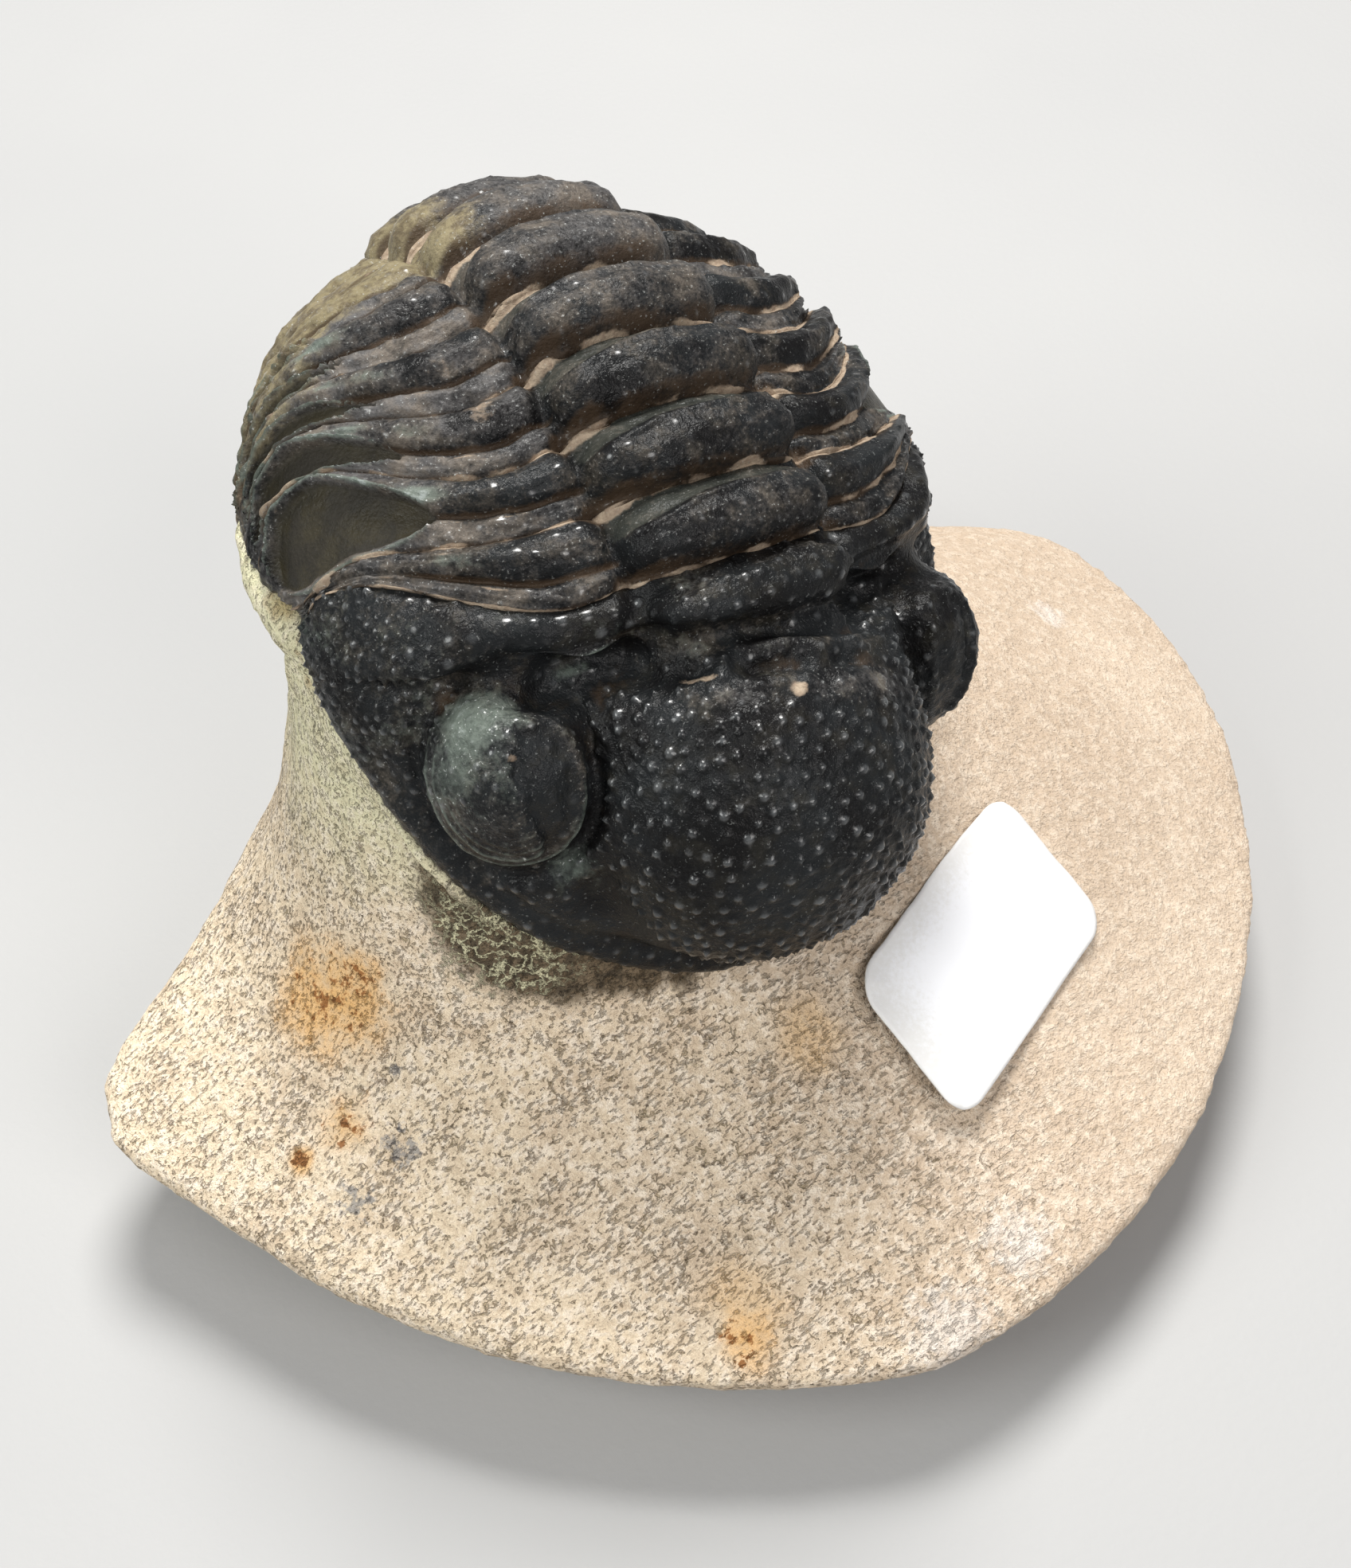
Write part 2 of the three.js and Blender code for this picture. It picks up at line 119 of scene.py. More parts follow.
lamp("ceiling_lamp", Vector((0.12, 0.27, 0.56)), 0.26, 5.4, (1.0, 0.985, 0.96))
lamp("side_lamp", Vector((-0.42, -0.02, 0.38)), 0.3, 1.75, (0.97, 0.99, 0.97))
lamp("front_lamp", Vector((0.12, -0.48, 0.42)), 0.4, 2.1, (1.0, 0.97, 0.95))
bpy.context.scene.view_settings.view_transform = "Standard"

world = bpy.data.worlds.new("room")
bpy.context.scene.world = world
world.use_nodes = True
air = world.node_tree.nodes["Background"].inputs
air["Color"].default_value = (0.93, 0.95, 1.0, 1)
air["Strength"].default_value = AIR_LIGHT

# %% [markdown]
# ## Writing materials as sums
# A material is a web of nodes. Drawn by hand it gets tangled, so a small class wraps one output
# socket. Python's operators then add the Math nodes, and one method adds any other node.

# %% A socket that takes part in sums
class Wire:
    """One output of a material's nodes."""

    def __init__(self, tree, socket=None):
        self.tree = tree
        self.socket = socket

    def node(self, kind, settings=None, sockets=None, output=0):
        """Adds a node, sets its settings first and its sockets next, and returns one of its outputs."""
        made = self.tree.nodes.new(kind)
        for name, value in (settings or {}).items():
            setattr(made, name, value)
        for name, value in (sockets or {}).items():
            if isinstance(value, Wire):
                self.tree.links.new(value.socket, made.inputs[name])
            elif isinstance(value, tuple) and len(value) == 3 and made.inputs[name].type == "RGBA":
                made.inputs[name].default_value = (*value, 1)
            else:
                made.inputs[name].default_value = value
        return Wire(self.tree, made.outputs[output])

    def sum(self, operation, *values):
        return self.node("ShaderNodeMath", {"operation": operation}, dict(enumerate(values)))

    def __add__(self, other):
        return self.sum("ADD", self, other)

    def __sub__(self, other):
        return self.sum("SUBTRACT", self, other)

    def __rsub__(self, other):
        return self.sum("SUBTRACT", other, self)

    def __mul__(self, other):
        return self.sum("MULTIPLY", self, other)

    __radd__ = __add__
    __rmul__ = __mul__

    def between(self, low, high):
        """0 below low, 1 above high, and a soft step between them."""
        return self.node(
            "ShaderNodeMapRange",
            {"interpolation_type": "SMOOTHSTEP"},
            {"Value": self, "From Min": low, "From Max": high},
        )

    def over(self, under, colour):
        """Lays a colour over another one where this wire is 1."""
        return self.node("ShaderNodeMix", {"data_type": "RGBA"}, {0: self, 6: under, 7: colour}, 2)

    def grain(self, place, size, detail=2.0, roughness=0.5, stretch=None):
        """Soft noise whose lumps are about size millimetres across."""
        if stretch:
            place = self.node("ShaderNodeMapping", {"vector_type": "TEXTURE"}, {"Vector": place, **stretch})
        sockets = {"Vector": place, "Scale": 1 / (size * MM), "Detail": detail, "Roughness": roughness}
        return self.node("ShaderNodeTexNoise", {"noise_dimensions": "3D"}, sockets)

    def stored(self, name):
        return self.node("ShaderNodeAttribute", {"attribute_name": name}, {}, "Fac")


def new_material(name):
    """An empty material: its wire, its Object coordinates, and a function that finishes it."""
    material = bpy.data.materials.new(name)
    material.use_nodes = True
    tree = material.node_tree
    tree.nodes.clear()
    wire = Wire(tree)
    place = wire.node("ShaderNodeTexCoord", {}, {}, "Object")

    def finish(colour, roughness, height, depth, **constants):
        bump = wire.node("ShaderNodeBump", {}, {"Height": height, "Distance": depth * MM, "Strength": 1.0})
        surface = {"Base Color": colour, "Roughness": roughness, "Normal": bump}
        shader = wire.node("ShaderNodeBsdfPrincipled", {}, {**surface, **constants})
        out = tree.nodes.new("ShaderNodeOutputMaterial")
        tree.links.new(shader.socket, out.inputs["Surface"])
        return material

    return wire, place, finish


# %% [markdown]
# The floor is a plain pale sheet. It isn't part of the object.

# %% Lay the floor
FLOOR_REACH = 3


def make_floor():
    wire, place, finish = new_material("pale_floor")
    mottle = wire.grain(place, 40, 3)
    colour = mottle.over((0.37, 0.37, 0.37), (0.4, 0.4, 0.395))
    material = finish(colour, 0.6 + 0.1 * mottle, wire.grain(place, 0.8), 0.03)
    bm = bmesh.new()
    bmesh.ops.create_grid(bm, x_segments=2, y_segments=2, size=FLOOR_REACH)
    mesh = finished(bm, "floor")
    mesh.materials.append(material)
    put("floor", mesh)


make_floor()

# %% [markdown]
# ## The rolled body as a pair of curves
# All thirteen shields of the body lie on one surface. One curve runs along the furrow beside the
# middle lobe and another along the rib tips, and an arch joins the two at every place. A point is
# found by u, which counts joints from the head, and q, which runs from the left tips to the right.
# The same numbers shape the solids, so the fine shields land on them.

# %% The joints, and curves through them
STAND = np.array([-2.65, 2.2, 0.0])
ROLL_ORIGIN = np.array([-1.77, 4.74, 40.36])
ROLL_TURN = np.array(Matrix.Rotation(math.radians(6.5), 3, "Z") @ Matrix.Rotation(math.radians(9), 3, "Y"))
HEAD_ORIGIN = np.array([0, 1.3, 2.5])
HEAD_TURN = np.array(Matrix.Rotation(math.radians(40), 3, "X"))

# Furrow beside the rings (y, z), then the joint's end at the rib tips (half width, y, z), in millimetres.
JOINTS = np.array([
    [-14.5, 7.7, 22.8, -0.8, 0.8],
    [-11.3, 10.6, 22.5, 1.3, 2.5],
    [-7, 13.2, 22.9, 3.4, 2.7],
    [-2.2, 15.3, 23, 6.4, 2],
    [3, 16.8, 22.9, 8.9, 2],
    [8.6, 17.5, 22.6, 10.6, 1.6],
    [14.5, 17, 22.1, 12, 0.8],
    [20.2, 15, 21.2, 13.2, -0.3],
    [24.9, 11.7, 20, 14.1, -1.6],
    [28.4, 7.4, 18.5, 14.8, -3],
    [30.4, 2.4, 16.8, 15.2, -4.5],
    [30.9, -2.7, 15, 15.4, -6.1],
    [30.2, -7.6, 13.2, 15.3, -7.7],
    [28.2, -12.6, 11.2, 15, -10.5],
    [24.9, -16.8, 8.4, 14.8, -13.6],
    [20.6, -20, 4, 15.6, -17],
])
LAST = len(JOINTS) - 1
FIRST = 1
SEGMENTS = 11
TAIL_RIBS = 3
SHELL = 2.2


def through(points):
    """A function that gives the place at any count of joints along a smooth line through the points."""
    ends = np.vstack([2 * points[0] - points[1], points, 2 * points[-1] - points[-2]])

    def at(u):
        i = np.clip(np.floor(u).astype(int), 0, len(points) - 2)
        w = (u - i)[:, None]
        a, b, c, d = (ends[i + k] for k in range(4))
        ab, bc, cd = (np.linalg.norm(q - p, axis=1)[:, None] ** 0.5 for p, q in ((a, b), (b, c), (c, d)))
        start = ((b - a) / ab - (c - a) / (ab + bc) + (c - b) / bc) * bc
        end = ((c - b) / bc - (d - b) / (bc + cd) + (d - c) / cd) * bc
        return b + start * w + (3 * (c - b) - 2 * start - end) * w**2 + (2 * (b - c) + start + end) * w**3

    return at


ring_line = through(np.column_stack([np.zeros(LAST + 1), JOINTS[:, :2]]))
tip_line = through(JOINTS[:, 2:])


def soft_step(low, high, value):
    t = np.clip((value - low) / (high - low), 0, 1)
    return t * t * (3 - 2 * t)


def bell(value, width):
    return np.exp(-((value / width) ** 2))


def around(points, place, size):
    """A bell round one place."""
    return bell(np.linalg.norm(points - np.array(place), axis=1), size)


def body(u, q):
    """The body's surface without relief, in the roll's own millimetres."""
    u = np.clip(u, 0, LAST)
    ring, tip = ring_line(u), tip_line(u)
    turn = np.minimum(1, np.abs(q)) * math.pi / 2
    rise = (np.cos(turn) ** 0.9 - np.maximum(0, np.abs(q) - 1))[:, None]
    spot = tip + (ring - tip) * rise
    spot[:, 0] = tip[:, 0] * np.sign(q) * np.sin(turn) ** 0.9
    return spot


def facing(u, q):
    """The way that the body's surface faces."""
    side, back = np.clip(q, -0.97, 0.97), np.clip(u, 0.02, LAST - 0.02)
    along = body(back + 0.02, side) - body(back - 0.02, side)
    across = body(back, side + 0.02) - body(back, side - 0.02)
    way = np.cross(across, along)
    return way / np.linalg.norm(way, axis=1)[:, None]


def roll_to_world(p):
    return p @ ROLL_TURN.T + ROLL_ORIGIN + STAND


def world_to_roll(p):
    return (p - ROLL_ORIGIN - STAND) @ ROLL_TURN


def head_to_world(p):
    return roll_to_world(p @ HEAD_TURN.T + HEAD_ORIGIN)


def world_to_head(p):
    return (world_to_roll(p) - HEAD_ORIGIN) @ HEAD_TURN


print("arc over the back:", round(float(np.linalg.norm(np.diff(JOINTS[:, :2], axis=0), axis=1).sum())), "mm")

# %% [markdown]
# The joints don't run straight over the flanks. As the animal rolled up, the outer ends of the ribs
# slid under each other, so there each joint is swept back. The first segment's tips are pinched
# between the head's rear corners and the facet behind. The same few numbers sweep the solids.

# %% Sweep the joints back over the flanks
SWEEPS = (0, 0.72, 0.3, 1, 0.95, 0.75, 0.6, 0.4, 0.2, 0.1)
FIRST_TIP_PINCH = 0.42


def joint_at(joint, q):
    """A joint's u at each q."""
    side = np.abs(q)
    dip = 0.2 * bell(side - 0.3, 0.1)
    back = 1.2 * soft_step(0.36, 0.74, side) - 0.9 * soft_step(0.8, 1, side)
    pinch = FIRST_TIP_PINCH * soft_step(0.66, 0.92, side) if joint == FIRST + 1 else 0
    return joint + (SWEEPS[joint] if joint < len(SWEEPS) else 0) * (back - dip) - pinch


def wobble(points, size, seed=0.0):
    """Smooth noise from -1 to 1 at many places, with lumps about size millimetres across."""
    shift = Vector((seed, 2.7 * seed, -1.3 * seed))
    return np.array([noise.noise(Vector(p) / size + shift) for p in points.tolist()])


print("joint 3 over the left flank:", np.round(joint_at(3, np.linspace(0, 1, 6)), 2).tolist())

# %% [markdown]
# ## Relief of one segment
# A segment is a raised ring in the middle and a rib on each side. The ring rises steeply from its
# front edge, is fullest before its middle and ends in a smooth strip at the rear. Each rib is two
# bands with a furrow between them. This could be sculpted, but the same relief is needed eleven
# times, so it is a function of u, q and v, where v runs from the segment's front edge to its rear.

# %% The ring of a segment
RING_HALF = 7.4
RING_PEAK = 0.42
STRIP_START = 0.76


def ring_half(u):
    return RING_HALF * (1 - 0.6 * soft_step(6, LAST, u))


def ring_relief(v, lean, drift):
    """Height of a ring over the body's surface, and its strip. lean is -1 at its left end, 1 at its right."""
    across = np.minimum(np.abs(lean), 1)
    to_left = soft_step(0.1, 1, -lean)
    peak = RING_PEAK - 0.1 * to_left
    reach = 0.3 + 0.7 * np.sqrt(1 - across**3.2)
    away = np.clip(np.where(v < peak, 1 - v / peak, (v - peak) / (1 - peak)) / reach, 0, 1)
    hump = np.where(v < peak, np.sqrt(1 - away**2), np.cos(math.pi / 2 * away) ** 0.8)
    lobe = np.sqrt(1 - across**2.7)
    knob = 0.4 * bell(across - 0.78, 0.15) * hump
    edge = STRIP_START - 0.2 * to_left + 0.05 * drift
    strip = soft_step(-0.03, 0.03, v - edge) * (1 - soft_step(0.55, 0.95, lean))
    height = 3.1 * lobe * (0.56 + 0.44 * hump) - 0.9 * (1 - hump) + knob
    return height - 0.3 * strip + 0.2 * bell(v - edge + 0.06, 0.04) * lobe, strip


# %% [markdown]
# Near the tip each rib has a facet, a smooth patch that slid under the rib in front. On the second
# segment it is a large half-round hollow, and on the next ones it shrinks to a crescent. Behind it
# only a thin ridge of the rib is left. A lifted rim round the facet catches the light.

# %% The ribs of a segment
FACETS = (0, 0, 0.86, 0.62, 0.5, 0.42, 0.36)


def facet_share(segment, q, v):
    """1 inside the facet, 0 outside it, and a second mask for its rim."""
    reach = FACETS[segment] if segment < len(FACETS) else 0
    side = np.abs(q)
    if reach == 0:
        return np.zeros_like(v), np.zeros_like(v)
    reach = np.where(q > 0, reach * (1 if segment == FIRST + 1 else 0.6), reach)
    opening = np.sqrt(np.clip(1 - ((side - 0.76) / np.where(side < 0.76, 0.3, 0.19)) ** 2, 0, 1))
    middle = reach * 0.5 + 0.03
    out = (v - middle) / (reach * 0.5 * np.maximum(opening, 1e-3))
    inside = (1 - soft_step(0.86, 1.0, np.abs(out))) * soft_step(0, 0.25, opening)
    rim = bell(np.abs(out) - 1.12, 0.1) * soft_step(0.25, 0.5, opening)
    return inside, rim


def rib_relief(segment, q, v, outward, drift):
    """Height of the two bands of a rib over the body's surface, how near its furrow is, and its crests."""
    furrow = 0.0 if segment < FIRST else 0.36 + 0.1 * outward
    bent = np.clip(v + 0.3 * drift * v * (1 - v), 0, 1)
    front = bent < furrow
    band = np.where(front, bent / np.maximum(furrow, 1e-6), (bent - furrow) / (1 - furrow))
    rounder = np.where(q > 0, 0.7, 0.6)
    lower = np.where(q > 0, 0.42, 0.6) + 0.2 * drift
    height = np.abs(np.sin(math.pi * np.clip(band, 0, 1))) ** rounder * np.where(front, lower, 1)
    shallow = soft_step(0.5, 0.8, outward + 0.3 * drift) * bell(bent - furrow, 0.17) * (segment >= FIRST)
    height = height + 0.35 * shallow * (1 - height)
    if segment < FIRST:
        height = np.maximum(height, soft_step(0.4, 0.6, np.abs(q)) * (1 - soft_step(0.5, 0.95, v)))
    to_furrow = (bent - furrow) if segment >= FIRST else np.ones_like(v)
    crest = np.maximum(bell(bent - furrow + 0.1, 0.035), bell(bent - 0.88 + 0.06 * drift, 0.04))
    return 1.05 * height - 0.65 * (1 - height) + 0.35 * bell(outward - 0.4, 0.22) * height, to_furrow, crest


# %% Put the ring and the ribs together
FULL_RIB = 4


def relief(segment, u, q, v, joint_length, drift):
    """Height over the body's surface in millimetres, and masks from 0 to 1 of what lies where."""
    x, half = np.abs(body(u, q)[:, 0]), ring_half(u)
    size = 1 - 0.6 * soft_step(10, LAST, u)
    inside = np.clip(v, 0, 1)
    across = x / half
    to_joint = np.minimum(inside, 1 - inside) * joint_length
    ring, strip = ring_relief(inside, np.sign(q) * across, drift)
    outward = np.clip((x - half) / (np.abs(body(u, np.ones_like(q))[:, 0]) - half), 0, 1)
    rib, to_furrow, crest = rib_relief(segment, q, inside, outward, drift)
    calm = soft_step(12.5, 16, body(u, q)[:, 1]) * soft_step(0, 0.25, -q)
    room = np.clip(joint_length / FULL_RIB, 0.12, 1) ** 1.3
    rib = rib * np.where(q < 0, 0.68, 0.8) * room + 0.22 * drift
    rib = rib * (1 - 0.7 * soft_step(0.75, 1, outward)) * (1 - 0.6 * calm)
    ring = ring * (1 - 0.45 * calm)
    facet, rim = facet_share(segment, q, inside + 0.06 * drift)
    beside = soft_step(0.9, 1.08, across)
    away = beside * (1 - facet)
    rib = rib * (1 - facet) - 0.3 * facet + np.where(q > 0, 0.12, 0.4) * rim
    corner = bell(np.hypot(to_joint, (across - 1.02) * half), 0.85)
    height = ring * (1 - beside) + rib * beside - 0.45 * bell(across - 1.03, 0.07) - 0.3 * corner
    return height * size, {
        "joint": bell(to_joint, 0.3),
        "gap": to_joint,
        "rear": soft_step(0.4, 0.6, inside),
        "corner": corner,
        "strip": strip * (1 - beside),
        "crease": bell(to_furrow * joint_length, 0.3) * away * (1 - soft_step(0.6, 0.85, outward)),
        "outward": outward * np.sign(q),
        "facet": facet * beside,
        "rim": rim * beside,
        "crest": crest * away,
        "high": bell(rib - 1.1, 0.4) * away,
        "slope": (1 - soft_step(0.04, 0.22, inside)) * (1 - beside) * (segment >= FIRST),
        "low": soft_step(0.05, -0.1, to_furrow) * away,
    }


# %% [markdown]
# ## Tubercles and granules
# The shell is covered with grains. They could be scattered as separate beads, but on the fossil
# they are swellings of the shell itself, so the mesh is pushed out in small domes. Their centres
# are picked from the mesh's own vertices, each no nearer to the next than the spacing of its area.

# %% Scatter centres and raise domes
def scatter(points, spacing, seed, tries=30000):
    """Indices of points that keep their spacing. A spacing of 0 leaves a point out."""
    rng = np.random.default_rng(seed)
    usable = np.flatnonzero(spacing > 0)
    order = rng.permutation(usable)[:tries]
    cells, chosen = {}, []
    for i in order.tolist():
        p, gap = points[i], spacing[i]
        key = tuple((p // 2).astype(int))
        near = (
            j
            for a in (-1, 0, 1)
            for b in (-1, 0, 1)
            for c in (-1, 0, 1)
            for j in cells.get((key[0] + a, key[1] + b, key[2] + c), ())
        )
        if all(np.sum((points[j] - p) ** 2) > gap * gap for j in near):
            cells.setdefault(key, []).append(i)
            chosen.append(i)
    return np.array(chosen, int)


def to_nearest(points, places):
    """For each point, which of the places is nearest, and how far it is."""
    tree = KDTree(len(places))
    for i, p in enumerate(places.tolist()):
        tree.insert(p, i)
    tree.balance()
    found = [tree.find(p) for p in points.tolist()]
    return np.array([f[1] for f in found]), np.array([f[2] for f in found])


def domes(points, centres, radii):
    """A dome from 0 to 1 round each centre."""
    if len(centres) == 0:
        return np.zeros(len(points)), np.zeros(len(points), int)
    nearest, away = to_nearest(points, centres)
    return np.clip(1 - (away / radii[nearest]) ** 2, 0, 1) ** 1.4, nearest


def read_points(mesh):
    co = np.empty(len(mesh.vertices) * 3)
    mesh.vertices.foreach_get("co", co)
    return co.reshape(-1, 3) / MM


def read_normals(mesh):
    mesh.update()
    normals = np.empty(len(mesh.vertices) * 3)
    mesh.vertex_normals.foreach_get("vector", normals)
    return normals.reshape(-1, 3)


def write_points(mesh, points):
    mesh.vertices.foreach_set("co", (points * MM).astype(np.float32).ravel())
    mesh.update()


def store(mesh, name, values):
    layer = mesh.attributes.new(name, "FLOAT", "POINT")
    layer.data.foreach_set("value", np.asarray(values, np.float32))


def show(name, mesh, material, node):
    """Makes a mesh a finished piece that stands for its solid."""
    mesh.materials.clear()
    mesh.materials.append(material)
    mesh.shade_smooth()
    made = put(name, mesh)
    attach(made, "root")
    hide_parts(node)
    triangles = sum(len(p.vertices) - 2 for p in mesh.polygons)
    print(name, triangles, "triangles", np.round(np.ptp(read_points(mesh), axis=0), 1).tolist(), "mm")


# %% [markdown]
# ## The shell's finish
# The shell is calcite, nearly black, with a half gloss and a cast that drifts between blue-grey,
# green and brown. Cream rock stays in the joints, brown stain beside it, and the tubercles' tips are
# painted pale, partly polish and partly painted highlight. Where these things are is stored on the
# mesh, and noise breaks the edges up.

# %% The shell material
SHELL_TINTS = {
    "black": (0.006, 0.0057, 0.0058),
    "slate": (0.0135, 0.015, 0.016),
    "olive": (0.022, 0.02, 0.015),
    "brown": (0.05, 0.032, 0.019),
    "grey": (0.135, 0.13, 0.128),
    "beige": (0.178, 0.151, 0.125),
    "yellow": (0.25, 0.21, 0.12),
    "amber": (0.14, 0.11, 0.065),
    "cream": (0.45, 0.36, 0.265),
    "sand": (0.27, 0.2, 0.145),
    "wear_and_highlight": (0.13, 0.155, 0.132),
    "green": (0.046, 0.049, 0.041),
    "facet": (0.04, 0.034, 0.02),
    "fleck": (0.3, 0.33, 0.32),
    # tip: pale tubercle tops, partly polish and partly painted highlight.
    "tip": (0.19, 0.2, 0.205),
    "sparkle": (0.5, 0.52, 0.5),
}


def make_shell_material():
    wire, place, finish = new_material("fossil_shell")
    tint = SHELL_TINTS
    cloud = wire.grain(place, 6, 4, 0.55)
    patch, fine, speck = (wire.grain(place, *scale, 0.6) for scale in ((2.2, 4), (0.5, 3), (0.22, 2)))
    mottle, drift = fine - 0.5, patch - 0.5
    residue, stain, tip, wear_and_highlight = (wire.stored(name) for name in ("residue", "stain", "tip", "wear_and_highlight"))
    dust_and_sheen, yellow, smooth, strip = (wire.stored(name) for name in ("dust_and_sheen", "yellow", "smooth", "strip"))

    # Each layer is a mask from 0 to 1, made ragged by noise, and the colour that it lays on.
    greened = (strip + 0.9 * drift + 0.5 * mottle).between(0.4, 1.15)
    dust_and_sheen_tint = (0.5 * cloud + 0.5 * patch).between(0.42, 0.58).over(tint["grey"], tint["beige"])
    # Dust, and on the rings also painted sheen: paler towards the rear rings and on their right halves.
    dusted_and_sheen = (dust_and_sheen + 0.95 * drift + 0.75 * mottle + 0.7 * (speck - 0.5)).between(0.15, 1.2)
    gold = (0.6 * patch + 0.4 * fine).between(0.4, 0.58).over(tint["amber"], tint["yellow"])
    yellowed = (yellow + 0.9 * drift + 0.7 * mottle).between(0.3, 0.95)
    browned = (stain + 0.6 * drift + 0.6 * mottle).between(0.25, 0.85)
    abraded_and_highlight = (wear_and_highlight + 0.8 * mottle + 0.6 * drift).between(0.2, 0.9)
    flecked = (wear_and_highlight + 1.3 * mottle + 0.9 * drift).between(0.85, 1.2)
    hollow = patch.between(0.35, 0.65).over(tint["facet"], tint["olive"])
    left = (residue + 0.5 * mottle + 0.45 * drift).between(0.38, 0.64)
    sand = fine.between(0.3, 0.7).over(tint["cream"], tint["sand"])
    # Pale tubercle tips: partly polish, partly painted highlight.
    polish_and_painted_glint = (tip * (0.4 + 1.0 * patch)).between(0.2, 1.0) * (1 - left)
    glints = speck.between(0.65, 0.71) * (0.16 + 0.7 * abraded_and_highlight + 0.45 * dusted_and_sheen) * (1 - smooth)
    colour = cloud.between(0.38, 0.62).over(tint["black"], tint["slate"])
    for mask, layer in (
        (patch.between(0.48, 0.7) * 0.6, tint["olive"]),
        (greened * 0.7, tint["green"]),
        (dusted_and_sheen * 0.95, dust_and_sheen_tint),
        (yellowed * 0.82, gold),
        (browned * 0.85, tint["brown"]),
        (abraded_and_highlight * 0.85, tint["wear_and_highlight"]),
        (flecked * 0.6, tint["fleck"]),
        (smooth * 0.9, hollow),
        (left * 0.9, sand),
        (polish_and_painted_glint * 0.38, tint["tip"]),
        (glints, tint["sparkle"]),
    ):
        colour = mask.over(colour, layer)

    roughness = 0.36 + 0.35 * drift + 0.5 * left + 0.14 * browned + 0.2 * dusted_and_sheen - 0.1 * polish_and_painted_glint
    height = 0.6 * fine + 0.45 * speck + 0.5 * patch
    coat = 0.9 * (tip * (0.5 + patch)).between(0.1, 0.6) * (1 - left)
    gloss = {"Specular IOR Level": 0.13, "Coat Weight": coat, "Coat Roughness": 0.16}
    return finish(colour, roughness, height, 0.17, **gloss)


shell_material = make_shell_material()
print("shell material:", len(shell_material.node_tree.nodes), "nodes")

# %% [markdown]
# ## The eleven segments
# Each segment is a long, thin, closed shell. A grid is bent into it: one direction of the grid goes
# over the outside and back along the inside, and the other goes from tip to tip. The seam is then
# merged and the two ends are filled. The edges dip under the neighbours, as the real ones do, so the
# joint is a dark valley and never a slit.

# %% Bend a grid into a shield
# Where more rock is left: a place in the roll's millimetres, a radius and a share.
ROCK_PATCHES = (
    (-11.2, 1.4, 15.2, 1.9, 0.5), (-11.8, 5.4, 14.6, 2.6, 0.4),
    (3.0, 17.6, 18.6, 2.4, 0.4), (-9.6, -0.6, 15.6, 1.4, 0.5),
)
TUCK = 0.13
INSIDE_SHARE = 0.08
MASKS = (
    "joint", "gap", "rear", "corner", "strip", "crease", "crest", "high", "outward", "facet", "rim", "slope",
    "low", "left_rock", "skin",
)


def left_rock(masks, in_roll):
    """Where the preparator left rock in the joints: 1 there, and 0 on clean shell."""
    right = np.maximum(masks["outward"], 0)
    left = np.maximum(-masks["outward"], 0)
    on_ring = np.abs(masks["outward"]) < 0.01
    x = in_roll[:, 0]
    low_flank = soft_step(8, -3, in_roll[:, 1]) * soft_step(0, 0.1, left)
    patchy = wobble(in_roll, 2.0, 4)
    wedge = on_ring * soft_step(-0.5, -6, x) * masks["rear"]
    width = np.where(on_ring, 0.17 + 0.55 * wedge * wedge + 0.06 * patchy, 0.24)
    in_ring = 0.5 + 0.4 * wedge + 0.2 * soft_step(4, 7, x)
    amount = np.where(on_ring, in_ring, 0.3 + 0.45 * (right > 0)) + 0.25 * low_flank
    return np.clip(np.maximum.reduce([
        bell(masks["gap"], width) * (amount + 0.6 * patchy),
        masks["corner"] * (0.62 + 0.8 * patchy) * np.where(x > 0, 1, 0.6 + 0.4 * masks["rear"]),
        masks["crease"] * (0.05 + 0.6 * soft_step(0, 0.3, right) + 0.6 * patchy),
        masks["crest"] * soft_step(0.05, 0.3, left) * (0.3 + 0.4 * patchy),
        *(share * around(in_roll, place, size) for *place, size, share in ROCK_PATCHES),
    ]), 0, 1)


